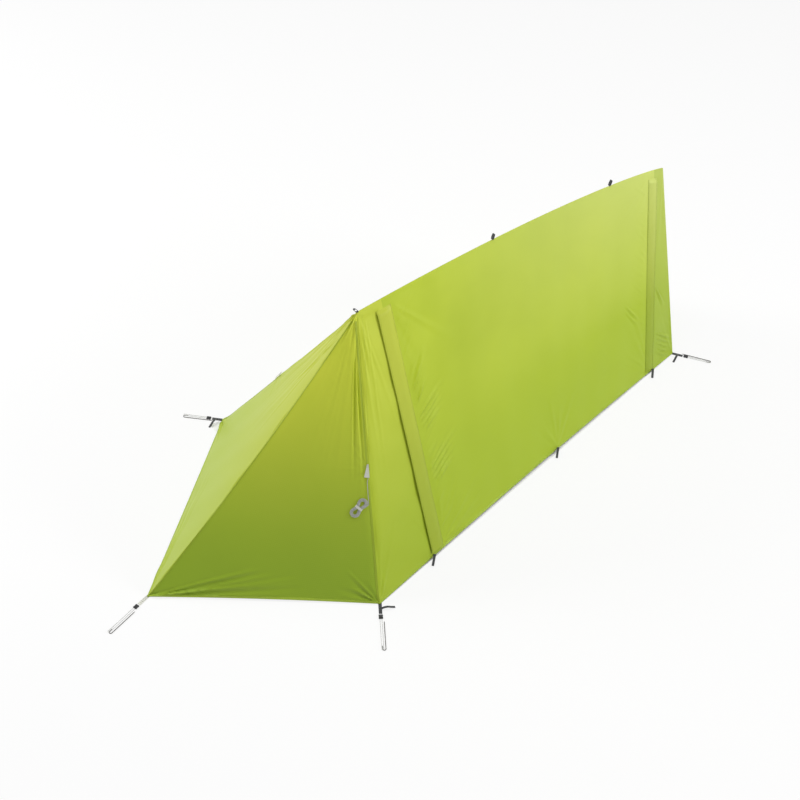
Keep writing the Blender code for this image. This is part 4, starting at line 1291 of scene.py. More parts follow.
@dataclass
class Repeater:
    """Geometry Nodes that set small pieces at an even pitch along lines."""

    bead: Bead
    pitch: float
    length: float
    thickness: float
    normal: tuple[float, float, float] = (0.0, 0.0, 1.0)

    def _tree(self) -> Tree:
        """Builds the node tree with its named inputs.

        Returns:
            The tree.
        """
        tree = bpy.data.node_groups.new(f"set_{self.bead.value}_along_lines", "GeometryNodeTree")
        for name, kind in (("Geometry", "Geometry"), ("Pitch", "Float"), ("Length", "Float"),
                           ("Thickness", "Float"), ("Wall normal", "Vector"), ("Finish", "Material")):
            tree.interface.new_socket(name, in_out="INPUT", socket_type=f"NodeSocket{kind}")
        tree.interface.new_socket("Geometry", in_out="OUTPUT", socket_type="NodeSocketGeometry")

        def made(kind: str, settings: dict | None = None, **inputs: object) -> Socket:
            """Adds a node and returns its first output."""
            return add(tree, kind, settings, inputs).outputs[0]

        given = add(tree, "NodeGroupInput").outputs
        length, thickness = given["Length"], given["Thickness"]
        curve = made("GeometryNodeMeshToCurve", Mesh=given["Geometry"])
        even = made("GeometryNodeResampleCurve", {"mode": "LENGTH"}, Curve=curve, Length=given["Pitch"])
        tangent = made("GeometryNodeInputTangent")
        align = "FunctionNodeAlignRotationToVector"
        if self.bead is Bead.STITCH:
            bead = made("GeometryNodeMeshCylinder", Vertices=6, Radius=thickness, Depth=length)
            turn = made(align, {"axis": "Z"}, Vector=tangent)
        else:
            size = made("ShaderNodeCombineXYZ", X=length, Y=thickness, Z=thickness)
            bead = made("GeometryNodeMeshCube", Size=size)
            lying = made(align, {"axis": "Y"}, Vector=tangent)
            turn = made(align, {"axis": "Z", "pivot_axis": "Y"}, Rotation=lying, Vector=given["Wall normal"])
        placed = made("GeometryNodeInstanceOnPoints", Points=even, Instance=bead, Rotation=turn)
        real = made("GeometryNodeRealizeInstances", Geometry=placed)
        painted = made("GeometryNodeSetMaterial", Geometry=real, Material=given["Finish"])
        add(tree, "NodeGroupOutput", inputs={0: painted})
        return tree

    def along(self, name: str, lines: Sequence[Array], material: Material) -> Item:
        """Sets the beads along every line and returns them as one plain mesh.

        Args:
            name: The object's name.
            lines: Lines of points.
            material: Finish of the beads.

        Returns:
            The object that holds all the beads.
        """
        points: list[list[float]] = []
        edges: list[tuple[int, int]] = []
        for line in lines:
            first = len(points)
            points += np.asarray(line, float).tolist()
            edges += [(first + k, first + k + 1) for k in range(len(line) - 1)]
        mesh = bpy.data.meshes.new(name)
        mesh.from_pydata(points, edges, [])
        item = linked(name, mesh)
        step = item.modifiers.new("beads", "NODES")
        step.node_group = self._tree()
        values = {"Pitch": self.pitch, "Length": self.length, "Thickness": self.thickness,
                  "Wall normal": self.normal, "Finish": material}
        for socket in step.node_group.interface.items_tree:
            if socket.name in values:
                step[socket.identifier] = values[socket.name]
        graph = bpy.context.evaluated_depsgraph_get()
        made = bpy.data.meshes.new_from_object(item.evaluated_get(graph))
        item.modifiers.clear()
        item.data = made
        return item


@dataclass(frozen=True)
class Sewing:
    """Rows of one kind of stitch."""

    pitch: float
    length: float
    thickness: float

    def sew(self, name: str, lines: Sequence[Array], material: Material, body: str, slot: str) -> None:
        """Sews the rows as one object and hangs them on their body."""
        stitches = Repeater(Bead.STITCH, self.pitch, self.length, self.thickness)
        finished(stitches.along(name, lines, material), body, slot)


SEAM_ROWS = Sewing(0.0062, 0.0042, 0.00035)
FLAP_ROWS = Sewing(0.0055, 0.0038, 0.00033)
WEBBING_ROWS = Sewing(0.0022, 0.0016, 0.0002)
LOOP_ROWS = Sewing(0.0018, 0.0014, 0.00025)
TAB_ROWS = Sewing(0.0026, 0.0019, 0.0003)
# Beads set so close that they run into each other, as ribs
RIB_ROWS = Sewing(0.0007, 0.0007, 0.00035)


@dataclass
class CanopyCloth:
    """The canopy's panels, its felled seams, hems and stitching."""

    canopy: Canopy
    finishes: Finishes
    # How far in from an edge the folds lie still, and how far in they are free
    seam_calm: tuple[float, float] = (0.002, 0.016)
    hem_calm: tuple[float, float] = (-0.002, 0.010)
    zip_calm: tuple[float, float] = (0.018, 0.036)
    flap_calm: tuple[float, float] = (0.044, 0.075)

    @property
    def calm(self) -> dict[Edge, tuple[float, float]]:
        """Where the folds die out: the cloth lies still on the ridge pole and at the seams."""
        return {Edge.LEFT: self.seam_calm, Edge.RIGHT: self.seam_calm, Edge.TOP: (0.024, 0.050),
                Edge.BOTTOM: self.hem_calm}

    @staticmethod
    def _out(side: int) -> Array:
        """Direction off a long wall."""
        return unit(np.array((0.13, side * 0.84, 0.52)))

    def _main_sheet(self) -> ClothSheet:
        """The wall that holds the door, with the short creases at its zips and its pull on the pegs.

        Returns:
            The panel.
        """
        near = self.canopy.near
        folds = creases(near,
                        ((1.033, 0.372), (1.106, 0.238), 0.015, 0.0068, 4, 0.023),
                        ((1.030, 0.480), (1.150, 0.398), 0.015, 0.0068, 4, 0.023),
                        ((1.031, 0.690), (1.166, 0.600), 0.015, 0.0064, 4, 0.024),
                        ((1.877, 0.583), (1.945, 0.700), 0.014, 0.0060, 2, 0.030))
        folds += fans(self._out(NEAR),
                      (near(1.0, 0.0), near(1.4, 0.9), 50, 4, 0.60, 0.030, 0.0010, 11),
                      (near(1.0, 1.0), near(1.6, 0.35), 62, 6, 0.60, 0.026, 0.0034, 12),
                      (near(2.0, 0.0), near(1.6, 0.9), 46, 5, 0.50, 0.028, 0.0012, 13),
                      (near(2.0, 1.0), near(1.5, 0.2), 56, 6, 0.52, 0.026, 0.0014, 14),
                      (near(1.54, 1.0), near(1.54, 0.2), 96, 6, 0.34, 0.022, 0.0030, 15))
        folds += self._puckers(1, 1, 16, 0.20, 0.0034) + self._puckers(2, -1, 17, 0.14, 0.0018)
        calm = {**self.calm, Edge.LEFT: self.flap_calm, Edge.RIGHT: self.flap_calm}
        return ClothSheet("main_wall_cloth", lambda u, v: near(1 + u, v), 268, 176, folds, calm, seed=2)

    def _front_sheet(self) -> ClothSheet:
        """The near wall between the front seam and the front zip.

        Returns:
            The panel.
        """
        shape, near = self.canopy, self.canopy.near
        folds = crease(near, (0.30, 0.04), (0.36, 0.62), 0.012, 0.0018)
        folds += fans(self._out(NEAR),
                      (shape.peak, near(0.5, 0.9), 22, 5, 0.85, 0.018, 0.0018, 21),
                      (shape.corner(NEAR), near(0.75, 0.3), 44, 5, 0.48, 0.020, 0.0034, 22),
                      (near(1.0, 1.0), near(0.4, 0.3), 40, 4, 0.40, 0.020, 0.0016, 23))
        return ClothSheet("front_side_cloth", near, 56, 170, folds, {**self.calm, Edge.RIGHT: self.zip_calm},
                          seed=3)

    def _rear_sheet(self) -> ClothSheet:
        """The near wall between the rear zip and the rear seam.

        Returns:
            The panel.
        """
        shape, near = self.canopy, self.canopy.near
        folds = creases(near, ((2.25, 0.585), (2.67, 0.706), 0.013, 0.0075),
                        ((2.26, 0.820), (2.95, 0.905), 0.012, 0.0070, 5, 0.026))
        folds += fans(self._out(NEAR),
                      (shape.ridge(shape.rear_x), near(2.5, 0.9), 12, 3, 0.7, 0.016, 0.0014, 31),
                      (shape.hem(shape.rear_x, NEAR), near(2.4, 0.4), 40, 4, 0.35, 0.018, 0.0016, 32))
        return ClothSheet("rear_side_cloth", lambda u, v: near(2 + u, v), 36, 170, folds,
                          {**self.calm, Edge.LEFT: self.zip_calm}, seed=4)

    def _nose_sheet(self, side: int) -> ClothSheet:
        """One nose panel, pulled by the peak, its corner, the nose and its seam tab.

        Args:
            side: Side of the tent.

        Returns:
            The panel.
        """
        shape = self.canopy
        peak, corner, nose = shape.peak, shape.corner(side), shape.nose
        wall = partial(shape.nose_wall, side)
        label, seed, ripple_seed, depth = ("near", 41, 6, 0.0085) if side == NEAR else ("far", 51, 7, 0.0030)
        middle = (peak + corner + nose) / 3
        tab = peak + (corner - peak) * 0.53
        past_tab = tab + (nose - corner) * 0.4 + np.array((0, 0, 0.08))
        folds = fans(unit(np.array((-0.52, side * 0.64, 0.566))),
                     (peak, middle + (corner - middle) * 0.35, 34, 8, 0.95, 0.022, 0.0020, seed),
                     (peak, middle, 64, 9, 0.21, 0.012, 0.0060, seed + 4),
                     (corner, wall(0.16, 0.92), 50, 6, 0.25, 0.016, 0.0075, seed + 1),
                     (nose, wall(0.42, 0.925), 14, 7, 0.80, 0.021, depth, seed + 2),
                     (tab, past_tab, 120, 5, 0.20, 0.014, 0.0022, seed + 3))
        if side == NEAR:
            folds += creases(wall, ((0.150, 0.15), (0.120, 0.58), 0.0110, -0.0085),
                             ((0.085, 0.19), (0.050, 0.58), 0.0100, -0.0080))
        else:
            folds += creases(wall, ((0.94, 0.09), (0.47, 0.42), 0.012, -0.0036),
                             ((0.52, 0.03), (0.06, 0.44), 0.010, -0.0040),
                             ((0.20, 0.06), (0.05, 0.70), 0.009, -0.0032))
        calm = {Edge.LEFT: (0.001, 0.009), Edge.RIGHT: (0.001, 0.009), Edge.TOP: (0.006, 0.020),
                Edge.BOTTOM: self.hem_calm}
        return ClothSheet(f"{label}_nose_cloth", wall, 160, 190, folds, calm, seed=ripple_seed, pointed=True)

    def _far_sheet(self) -> ClothSheet:
        """The whole far wall.

        Returns:
            The panel.
        """
        shape, far = self.canopy, self.canopy.far
        rows = [(shape.peak, far(0.25, 0.9), 46, 7, 0.7, 0.026, 0.0034, 61),
                (shape.corner(FAR), far(0.35, 0.3), 52, 7, 0.6, 0.026, 0.0044, 62),
                (shape.hem(shape.rear_x, FAR), far(0.7, 0.3), 52, 7, 0.55, 0.024, 0.0040, 63),
                (shape.ridge(shape.rear_x), far(0.75, 0.9), 40, 6, 0.55, 0.024, 0.0030, 64)]
        for share in (0.165, 0.57, 0.92):
            rows.append((far(share, 1.0), far(share, 0.2), 90, 6, 0.34, 0.020, 0.0034, int(share * 1000)))
        return ClothSheet("far_wall_cloth", far, 260, 140, fans(self._out(FAR), *rows), self.calm, seed=5)

    def _back_sheet(self) -> ClothSheet:
        """The upright rear wall.

        Returns:
            The panel.
        """
        wall = self.canopy.rear_wall
        folds = fans(np.array((1.0, 0.0, 0.0)),
                     (wall(0.5, 0.0), wall(0.5, 0.9), 26, 6, 0.75, 0.018, 0.0018, 71),
                     (wall(0.0, 1.0), wall(0.5, 0.4), 50, 5, 0.40, 0.020, 0.0034, 72),
                     (wall(1.0, 1.0), wall(0.5, 0.4), 50, 5, 0.40, 0.020, 0.0034, 73))
        return ClothSheet("rear_wall_cloth", wall, 76, 120, folds, self.calm, seed=8, pointed=True)

    def _puckers(self, key: int, way: int, seed: int, reach: float, depth: float) -> list[Fold]:
        """Short slanting folds that leave a flap's sewn edge.

        Args:
            key: Ruling of the zip.
            way: Along X, to the door's side.
            seed: Seed of their differences.
            reach: Longest fold.
            depth: Highest fold.

        Returns:
            The folds.
        """
        shape = self.canopy
        sewn = 0.040
        dice = random.Random(seed)
        folds = []
        for k in range(13):
            v = 0.12 + 0.80 * (k + dice.uniform(-0.3, 0.3)) / 12
            start = shape.near(shape.beside(key, way * sewn, v), v)
            length = reach * dice.uniform(0.35, 1.0)
            higher = max(0.03, v - dice.uniform(0.10, 0.30) * length / 0.3)
            end = shape.near(shape.beside(key, way * (sewn + length), v), higher)
            folds.append(Fold(tuple(start), tuple(end), dice.uniform(0.011, 0.020),
                              depth * dice.uniform(0.4, 1.0)))
        return folds

    def build(self) -> None:
        """Builds the panels, seams and stitching."""
        finish = self.finishes
        plans = (
            ("main", self._main_sheet(), finish.wall, ("ridge_strip", "side_door")),
            ("front", self._front_sheet(), finish.front, ("front_side_panel",)),
            ("rear", self._rear_sheet(), finish.rear, ("rear_side_panel",)),
            ("far", self._far_sheet(), finish.wall, ("far_wall",)),
            ("near_nose", self._nose_sheet(NEAR), finish.near_nose_painted_light_and_shade, ("near_nose_panel",)),
            ("far_nose", self._nose_sheet(FAR), finish.far_nose_painted_shade, ("far_nose_panel",)),
            ("back", self._back_sheet(), finish.wall, ("rear_wall",)),
        )
        for key, sheet, material, nodes in plans:
            item = sheet.build(material)
            if key == "main":
                self._bend(item)
            finished(item, "" if key == "main" else TENT, CLOTH_SLOT, *nodes)
            sheet.declare(item, "ridge_pole_front")
        self._seams({key: sheet for key, sheet, _, _ in plans})

    def _bend(self, item: Item) -> None:
        """Works out the door's hinge line and bakes a piece's placement into its mesh, without bending it.

        Args:
            item: The piece.
        """
        shape = self.canopy
        front, rear = (shape.near(key, shape.door_top_drop / shape.fall(key)) for key in (1, 2))
        down = unit(np.cross(unit(rear - front), (0.0, 1.0, 0.0)))
        down = down if down[2] < 0 else -down
        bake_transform(item)

    def _seams(self, sheets: dict[str, ClothSheet]) -> None:
        """Builds the felled seams and hems, and the rows of stitching on them.

        Args:
            sheets: The panels by key.
        """
        tent = [
            FelledSeam(sheets["near_nose"], Edge.LEFT, start=0.03),
            FelledSeam(sheets["near_nose"], Edge.RIGHT, outer=0.0100, start=0.03),
            FelledSeam(sheets["far_nose"], Edge.LEFT, start=0.03),
            FelledSeam(sheets["far"], Edge.TOP),
            FelledSeam(sheets["back"], Edge.LEFT, start=0.05),
            FelledSeam(sheets["back"], Edge.RIGHT, start=0.05),
            FelledSeam(sheets["front"], Edge.LEFT, outer=0.031, start=0.02, stop=0.53, taper=0.6),
        ]
        hem = partial(FelledSeam, edge=Edge.BOTTOM, outer=0.009, hang=True)
        tent += [hem(sheets[key]) for key in ("near_nose", "far_nose", "far", "front", "rear", "back")]
        for body, seams in ((TENT, tent), (DOOR, [hem(sheets["main"])])):
            for label, material in (("felled_seams", self.finishes.seam), ("hems", self.finishes.hem),
                                    ("reinforcements", self.finishes.front)):
                picked = [seam for seam in seams if seam.kind == label]
                bands = MeshParts()
                for seam in picked:
                    seam.band(bands)
                if picked:
                    finished(bands.object(f"{body}_{label}", material), body, CLOTH_SLOT)
            lines = [row for seam in seams for row in seam.rows()]
            SEAM_ROWS.sew(f"{body}_seam_stitches", lines, self.finishes.thread, body, CLOTH_SLOT)


@dataclass
class StormFlap:
    """A storm flap: sewn to the door behind its zip and standing clear over the zip."""

    canopy: Canopy
    finishes: Finishes
    name: str
    key: int
    way: int
    overlap: float
    sewn: float = 0.045
    stand: float = 0.0080
    cloth: float = 0.0010
    top_gap: float = 0.014
    foot_gap: float = 0.018
    small_folds: int = 34

    def _surface(self, u: Number, v: Number) -> Array:
        """The flap's outer face.

        Args:
            u: Share of the way from the sewn edge to the free edge.
            v: Share of the way down it.

        Returns:
            The points.
        """
        shape = self.canopy
        u, v = pair(u, v)
        fall = shape.fall(self.key)
        top = (shape.door_top_drop + self.top_gap) / fall
        foot = 1 - self.foot_gap / fall
        down = top + (foot - top) * v
        reach = u * (self.sewn + self.overlap)
        s = shape.beside(self.key, (self.sewn - reach) * self.way, down)
        raised = np.sin(math.pi / 2 * np.clip(reach / self.sewn, 0, 1))
        top_fade = rise(v, 0.0, 0.020)
        up = self.stand * raised * (1 - 0.06 * rise(u, 0.8, 1.0)) * top_fade
        # The sewn edge is sunk into the door's cloth, so that no gap shows along the seam
        up = up + 0.0002 + (self.cloth + 0.0001) * rise(u, 0.0, 0.16) * top_fade
        return shape.near(s, down) + shape.near_normal(s, down) * up[..., None]

    def build(self) -> None:
        """Builds the flap, its edge bands and its stitching."""
        dice = random.Random(self.key * 5)
        folds = []
        for k in range(self.small_folds):
            v = (k + dice.uniform(0.2, 0.8)) / self.small_folds
            start = self._surface(0.02, v)
            end = self._surface(dice.uniform(0.45, 0.95), min(1.0, v + dice.uniform(-0.02, 0.03)))
            folds.append(Fold(tuple(start), tuple(end), dice.uniform(0.004, 0.008),
                              dice.uniform(0.0005, 0.0013)))
        sheet = ClothSheet(f"{self.name}_cloth", self._surface, 26, 190, folds, {Edge.LEFT: (0.0, 0.004)},
                           thickness=self.cloth * 0.7, ripple=0.0004, seed=self.key + 80)
        # The rear flap takes the darker seam cloth, as painted shade on it
        cloth = self.finishes.flap if self.key == 1 else self.finishes.seam
        sheet.declare(finished(sheet.build(cloth), DOOR, CLOTH_SLOT, self.name), "main_wall_cloth")
        bands = MeshParts()
        lines = []
        for hem in (FelledSeam(sheet, Edge.LEFT, 0.001, 0.007, 0.0003),
                    FelledSeam(sheet, Edge.RIGHT, 0.0006, 0.009, 0.0006)):
            hem.band(bands)
            lines += hem.rows()
        finished(bands.object(f"{self.name}_hems", cloth), DOOR, CLOTH_SLOT)
        FLAP_ROWS.sew(f"{self.name}_stitches", lines, self.finishes.thread, DOOR, CLOTH_SLOT)


@dataclass
class CoilZip:
    """A coil zip under a storm flap: its tape and its teeth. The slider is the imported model's own."""

    canopy: Canopy
    finishes: Finishes
    name: str
    key: int
    away: int
    set_back: float = 0.0050
    tape_width: float = 0.0060
    tape_thickness: float = 0.0005
    tooth_pitch: float = 0.0030
    tooth_width: float = 0.0036
    tooth_height: float = 0.0012
    lift: float = 0.0007
    top_gap: float = 0.024
    foot_gap: float = 0.029

    def build(self) -> None:
        """Builds the tape and the teeth."""
        shape = self.canopy
        fall = shape.fall(self.key)
        v = np.linspace((shape.door_top_drop + self.top_gap) / fall, 1 - self.foot_gap / fall, 60)
        rings = []
        for across, up in ((-0.5, 0.0), (-0.5, self.tape_thickness), (0.5, self.tape_thickness), (0.5, 0.0)):
            s = shape.beside(self.key, (self.set_back + across * self.tape_width) * self.away, v)
            rings.append(shape.near(s, v) + shape.near_normal(s, v) * (self.lift + up))
        tape = MeshParts().loft(np.stack(rings, axis=1))
        finished(tape.object(f"{self.name}_tape", self.finishes.zip_tape), TENT, ZIP_SLOT)
        s = shape.beside(self.key, self.set_back * self.away, v)
        normal = shape.near_normal(s, v)
        line = shape.near(s, v) + normal * (self.lift + 0.0010)
        teeth = Repeater(Bead.TOOTH, self.tooth_pitch, self.tooth_width, self.tooth_height,
                         tuple(normal[len(normal) // 2]))
        finished(teeth.along(f"{self.name}_teeth", [line], self.finishes.zip_coil), TENT, ZIP_SLOT,
                 f"{self.name}_chain")


# Cords and straps: tie-outs on the ground, seam tabs, webbing loops and the bundled guy line


@dataclass(frozen=True)
class GuyLine:
    """A cord of the tent, which is limp."""

    name: str
    node: str
    diameter: float
    around: int
    far_end: str
    lay: str

    def build(self, path: Array, material: Material) -> None:
        """Builds the cord along its path and logs its length.

        Args:
            path: Points along its middle, from where it leaves the tent.
            material: Its finish.
        """
        parts = MeshParts().loft(tube_sections(path, self.diameter / 2, self.around))
        item = finished(parts.object(self.name, material), TENT, PALE_SLOT, self.node)
        length = length_of(path)
        tuple(path[0])
        LOG.info("%s is %.3f m long", self.name, length)


@dataclass
class TieOut:
    """A corner's tie-out: a stitched webbing tab, a cord loop, a line tensioner and a hooked wire peg."""

    finishes: Finishes
    name: str
    corner: Array
    heading: tuple[float, float]
    reach: float
    tail_turn: float | None
    pale: bool = False
    webbing_width: float = 0.016
    webbing_length: float = 0.055
    webbing_root: float = 0.018
    webbing_thickness: float = 0.00085
    tail_width: float = 0.011
    tail_thickness: float = 0.0011
    cord_diameter: float = 0.0022
    cord_height: float = 0.0036
    cord_spacing: float = 0.0092
    bar_length: float = 0.022
    bar_half_width: float = 0.010
    bar_top: float = 0.0062
    lip_radius: float = 0.0003
    peg_diameter: float = 0.0040
    peg_length: float = 0.150
    peg_step: float = 0.0140
    clearance: float = 0.0003

    def __post_init__(self) -> None:
        """Works out where the tie-out lies."""
        ahead = Vector((*self.heading, 0.0))
        self.place = frame_at(Vector((self.corner[0], self.corner[1], 0.0)), ahead, UP)

    def _laid(self, points: Sequence[Vector]) -> Array:
        """Turns the tie-out's own points into places on the ground."""
        return np.array([self.place @ Vector(p) for p in points])

    def _side(self, way: Vector) -> Array:
        """Turns one of the tie-out's own directions into a direction on the ground."""
        return np.array(self.place.to_3x3() @ way)

    def build(self) -> None:
        """Builds every piece of the tie-out."""
        self._webbing()
        self._cord()
        self._tensioner()
        self._peg()

    def _webbing(self) -> None:
        """A doubled strap with its folded end, its stitched box and its loose tail."""
        thin, end = self.webbing_thickness, self.webbing_length
        turn = thin * 0.62
        low = thin * 0.55
        high = low + 2 * turn
        path = [(-self.webbing_root, 0, low), (0.0, 0, low), (end - 0.004, 0, low)]
        path += [(end - 0.0013 + turn * math.sin(a), 0, low + turn * (1 - math.cos(a)))
                 for a in np.linspace(0, math.pi, 7)]
        path += [(end - 0.008, 0, high), (0.004, 0, high)]
        parts = MeshParts().loft(strap_sections(self._laid(path), self._side(Vector((0, 1, 0))),
                                                self.webbing_width, thin))
        if self.tail_turn is not None:
            start = Vector((end * 0.55, 0, 0))
            way = Vector((math.cos(self.tail_turn), math.sin(self.tail_turn), 0))
            # The tail springs up off the ground and comes down again
            rises = ((0.0, 0.0022), (0.014, 0.0115), (0.034, 0.0128), (0.052, 0.006), (0.069, 0.0012))
            knots = [start + way * out + UP * up for out, up in rises]
            across = self._side(Vector((-way.y, way.x, 0)))
            parts.loft(strap_sections(self._laid(smooth_route(knots, 0.004)), across, self.tail_width,
                                      self.tail_thickness))
        slot = PALE_SLOT if self.pale else WEBBING_SLOT
        cloth = self.finishes.tape if self.pale else self.finishes.webbing
        finished(parts.object(f"{self.name}_webbing_strap", cloth), TENT, slot, f"{self.name}_webbing")
        # A crossed box of stitching and three bars
        half = self.webbing_width * 0.34
        near, far = 0.006, 0.022
        rows = [((near, -half), (far, -half)), ((far, -half), (far, half)), ((far, half), (near, half)),
                ((near, half), (near, -half)), ((near, -half), (far, half)), ((near, half), (far, -half))]
        rows += [((x, -half), (x, half)) for x in (0.030, 0.0325, 0.035)]
        top = thin * 1.05 + 2 * turn + 0.0001
        lines = [self._laid([(*one, top), (*two, top)]) for one, two in rows]
        WEBBING_ROWS.sew(f"{self.name}_webbing_stitches", lines, self.finishes.dark_thread, TENT, slot)

    def _cord(self) -> None:
        """The doubled cord that runs out and round the peg and back."""
        half = self.cord_spacing / 2
        start = self.webbing_length + self.clearance
        over = self.peg_diameter + self.clearance + self.cord_diameter / 2
        out = [(start, half, self.cord_height), (start + 0.03, half, self.cord_height),
               (self.reach - 0.055, half, self.cord_height), (self.reach - 0.022, half, over)]
        turns = [math.pi / 2 - math.pi * k / 6 for k in range(7)]
        bend = [(self.reach - half + half * math.cos(a), half * math.sin(a), over) for a in turns]
        back = [(x, -y, z) for x, y, z in reversed(out)]
        route = smooth_route([Vector(p) for p in out + bend + back], 0.004)
        cord = GuyLine(f"{self.name}_guy_cord", f"{self.name}_cord", self.cord_diameter, 10, "object", "taut")
        cord.build(self._laid(route), self.finishes.cord)

    def _tensioner(self) -> None:
        """A moulded line tensioner: a bored bar with rounded edges and gripping ribs on top."""
        start = self.webbing_length + 0.006
        length, half, low, high = self.bar_length, self.bar_half_width, self.clearance, self.bar_top
        rings = []
        # The bar's ends are rounded, and it has a shallow waist
        edge, waist = 0.0009, 0.0006
        for x, shrink in ((0.0, edge), (edge, 0.0), (length * 0.35, 0.0), (length * 0.42, waist),
                          (length * 0.58, waist), (length * 0.65, 0.0), (length - edge, 0.0), (length, edge)):
            ring = soft_box(30, half - shrink, (high - low) / 2 - shrink, 0.35, 0.5)
            rings.append(self._laid([(start + x, y, (high + low) / 2 + z) for y, z in ring]))
        shell = MeshParts().loft(np.array(rings))
        lip = self.lip_radius
        bore = self.cord_diameter / 2 + 0.0004 + lip
        ahead = self._side(Vector((1, 0, 0)))
        for side in (-1, 1):
            # Each bore's lip is a small rolled ring that stands on the bar's end faces
            for x in (start - 0.0001, start + length + 0.0001):
                path = self._laid([(x, side * self.cord_spacing / 2 + y, self.cord_height + z)
                                   for y, z in soft_box(14, bore, bore, 1.0, 1.0)])
                spread = unit(path - path.mean(axis=0))
                ring = [path + spread * lip * math.cos(b) + ahead * lip * math.sin(b)
                        for b in np.linspace(0, 2 * math.pi, 6, endpoint=False)]
                shell.loft(np.stack(ring, axis=1), closed=True)
        item = shell.object(f"{self.name}_tensioner_bar", self.finishes.acetal, angle=40)
        body = f"{self.name}_tensioner"
        finished(item, body, PLASTIC_SLOT, body)
        lines = [self._laid([(start + x, -half * 0.7, high), (start + x, half * 0.7, high)])
                 for x in (0.0030, 0.0050, 0.0150, 0.0170, 0.0190)]
        RIB_ROWS.sew(f"{body}_ribs", lines, self.finishes.acetal, body, PLASTIC_SLOT)

    def _peg(self) -> None:
        """A wire peg that lies beside the cord, with a pointed end and a hook under the cord's bend."""
        radius = self.peg_diameter / 2
        bend = self.peg_step / 2
        centre = self.reach - bend - 0.001
        tip = centre - self.peg_length
        points = [(tip + x, self.peg_step, radius) for x in (0.0, 0.004, 0.008, 0.012, 0.05, 0.10)]
        points.append((centre - 0.008, self.peg_step, radius))
        for k in range(17):
            turn = math.pi / 2 - math.pi * k / 16
            points.append((centre + bend * math.cos(turn), bend + bend * math.sin(turn), radius))
        points += [(centre - x, 0, radius) for x in (0.008, 0.015, 0.016)]
        radii = np.full(len(points), radius)
        radii[:4] = radius * np.array((0.12, 0.45, 0.8, 1.0))
        radii[-1] = radius * 0.7
        parts = MeshParts().loft(tube_sections(self._laid(points), radii, 14))
        item = parts.object(f"{self.name}_wire_peg", self.finishes.wire)
        finished(item, TENT, WIRE_SLOT, f"{self.name}_peg")


@dataclass
class StrapLoop:
    """A flat ring of webbing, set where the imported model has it."""

    finishes: Finishes
    node: str
    body: str
    along: Vector
    across: Vector
    length: float
    height: float = 0.0120
    width: float = 0.011
    wall: float = 0.0014

    def build(self) -> None:
        """Builds the ring and the bars of stitching at its root."""
        low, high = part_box(self.node)
        centre = (low + high) / 2
        ahead = self.along.normalized()
        side = self.across.normalized()
        up = ahead.cross(side).normalized()
        ring = soft_box(48, (self.length - self.wall) / 2, (self.height - self.wall) / 2, 1.0, 0.8)
        path = np.array([centre + ahead * out + up * above for out, above in ring])
        parts = strap_ring(path, np.array(side), self.width, self.wall * 0.8)
        item = parts.object(f"{self.node}_strap", self.finishes.webbing)
        finished(item, self.body, WEBBING_SLOT, self.node)
        root = centre - ahead * (self.length / 2 - 0.006)
        lines = []
        for step in (0.0, 0.0015, 0.003):
            top = root + ahead * step + up * (self.height * 0.40)
            lines.append(np.array([top - side * self.width * 0.35, top + side * self.width * 0.35]))
        LOOP_ROWS.sew(f"{self.node}_stitches", lines, self.finishes.dark_thread, self.body, WEBBING_SLOT)


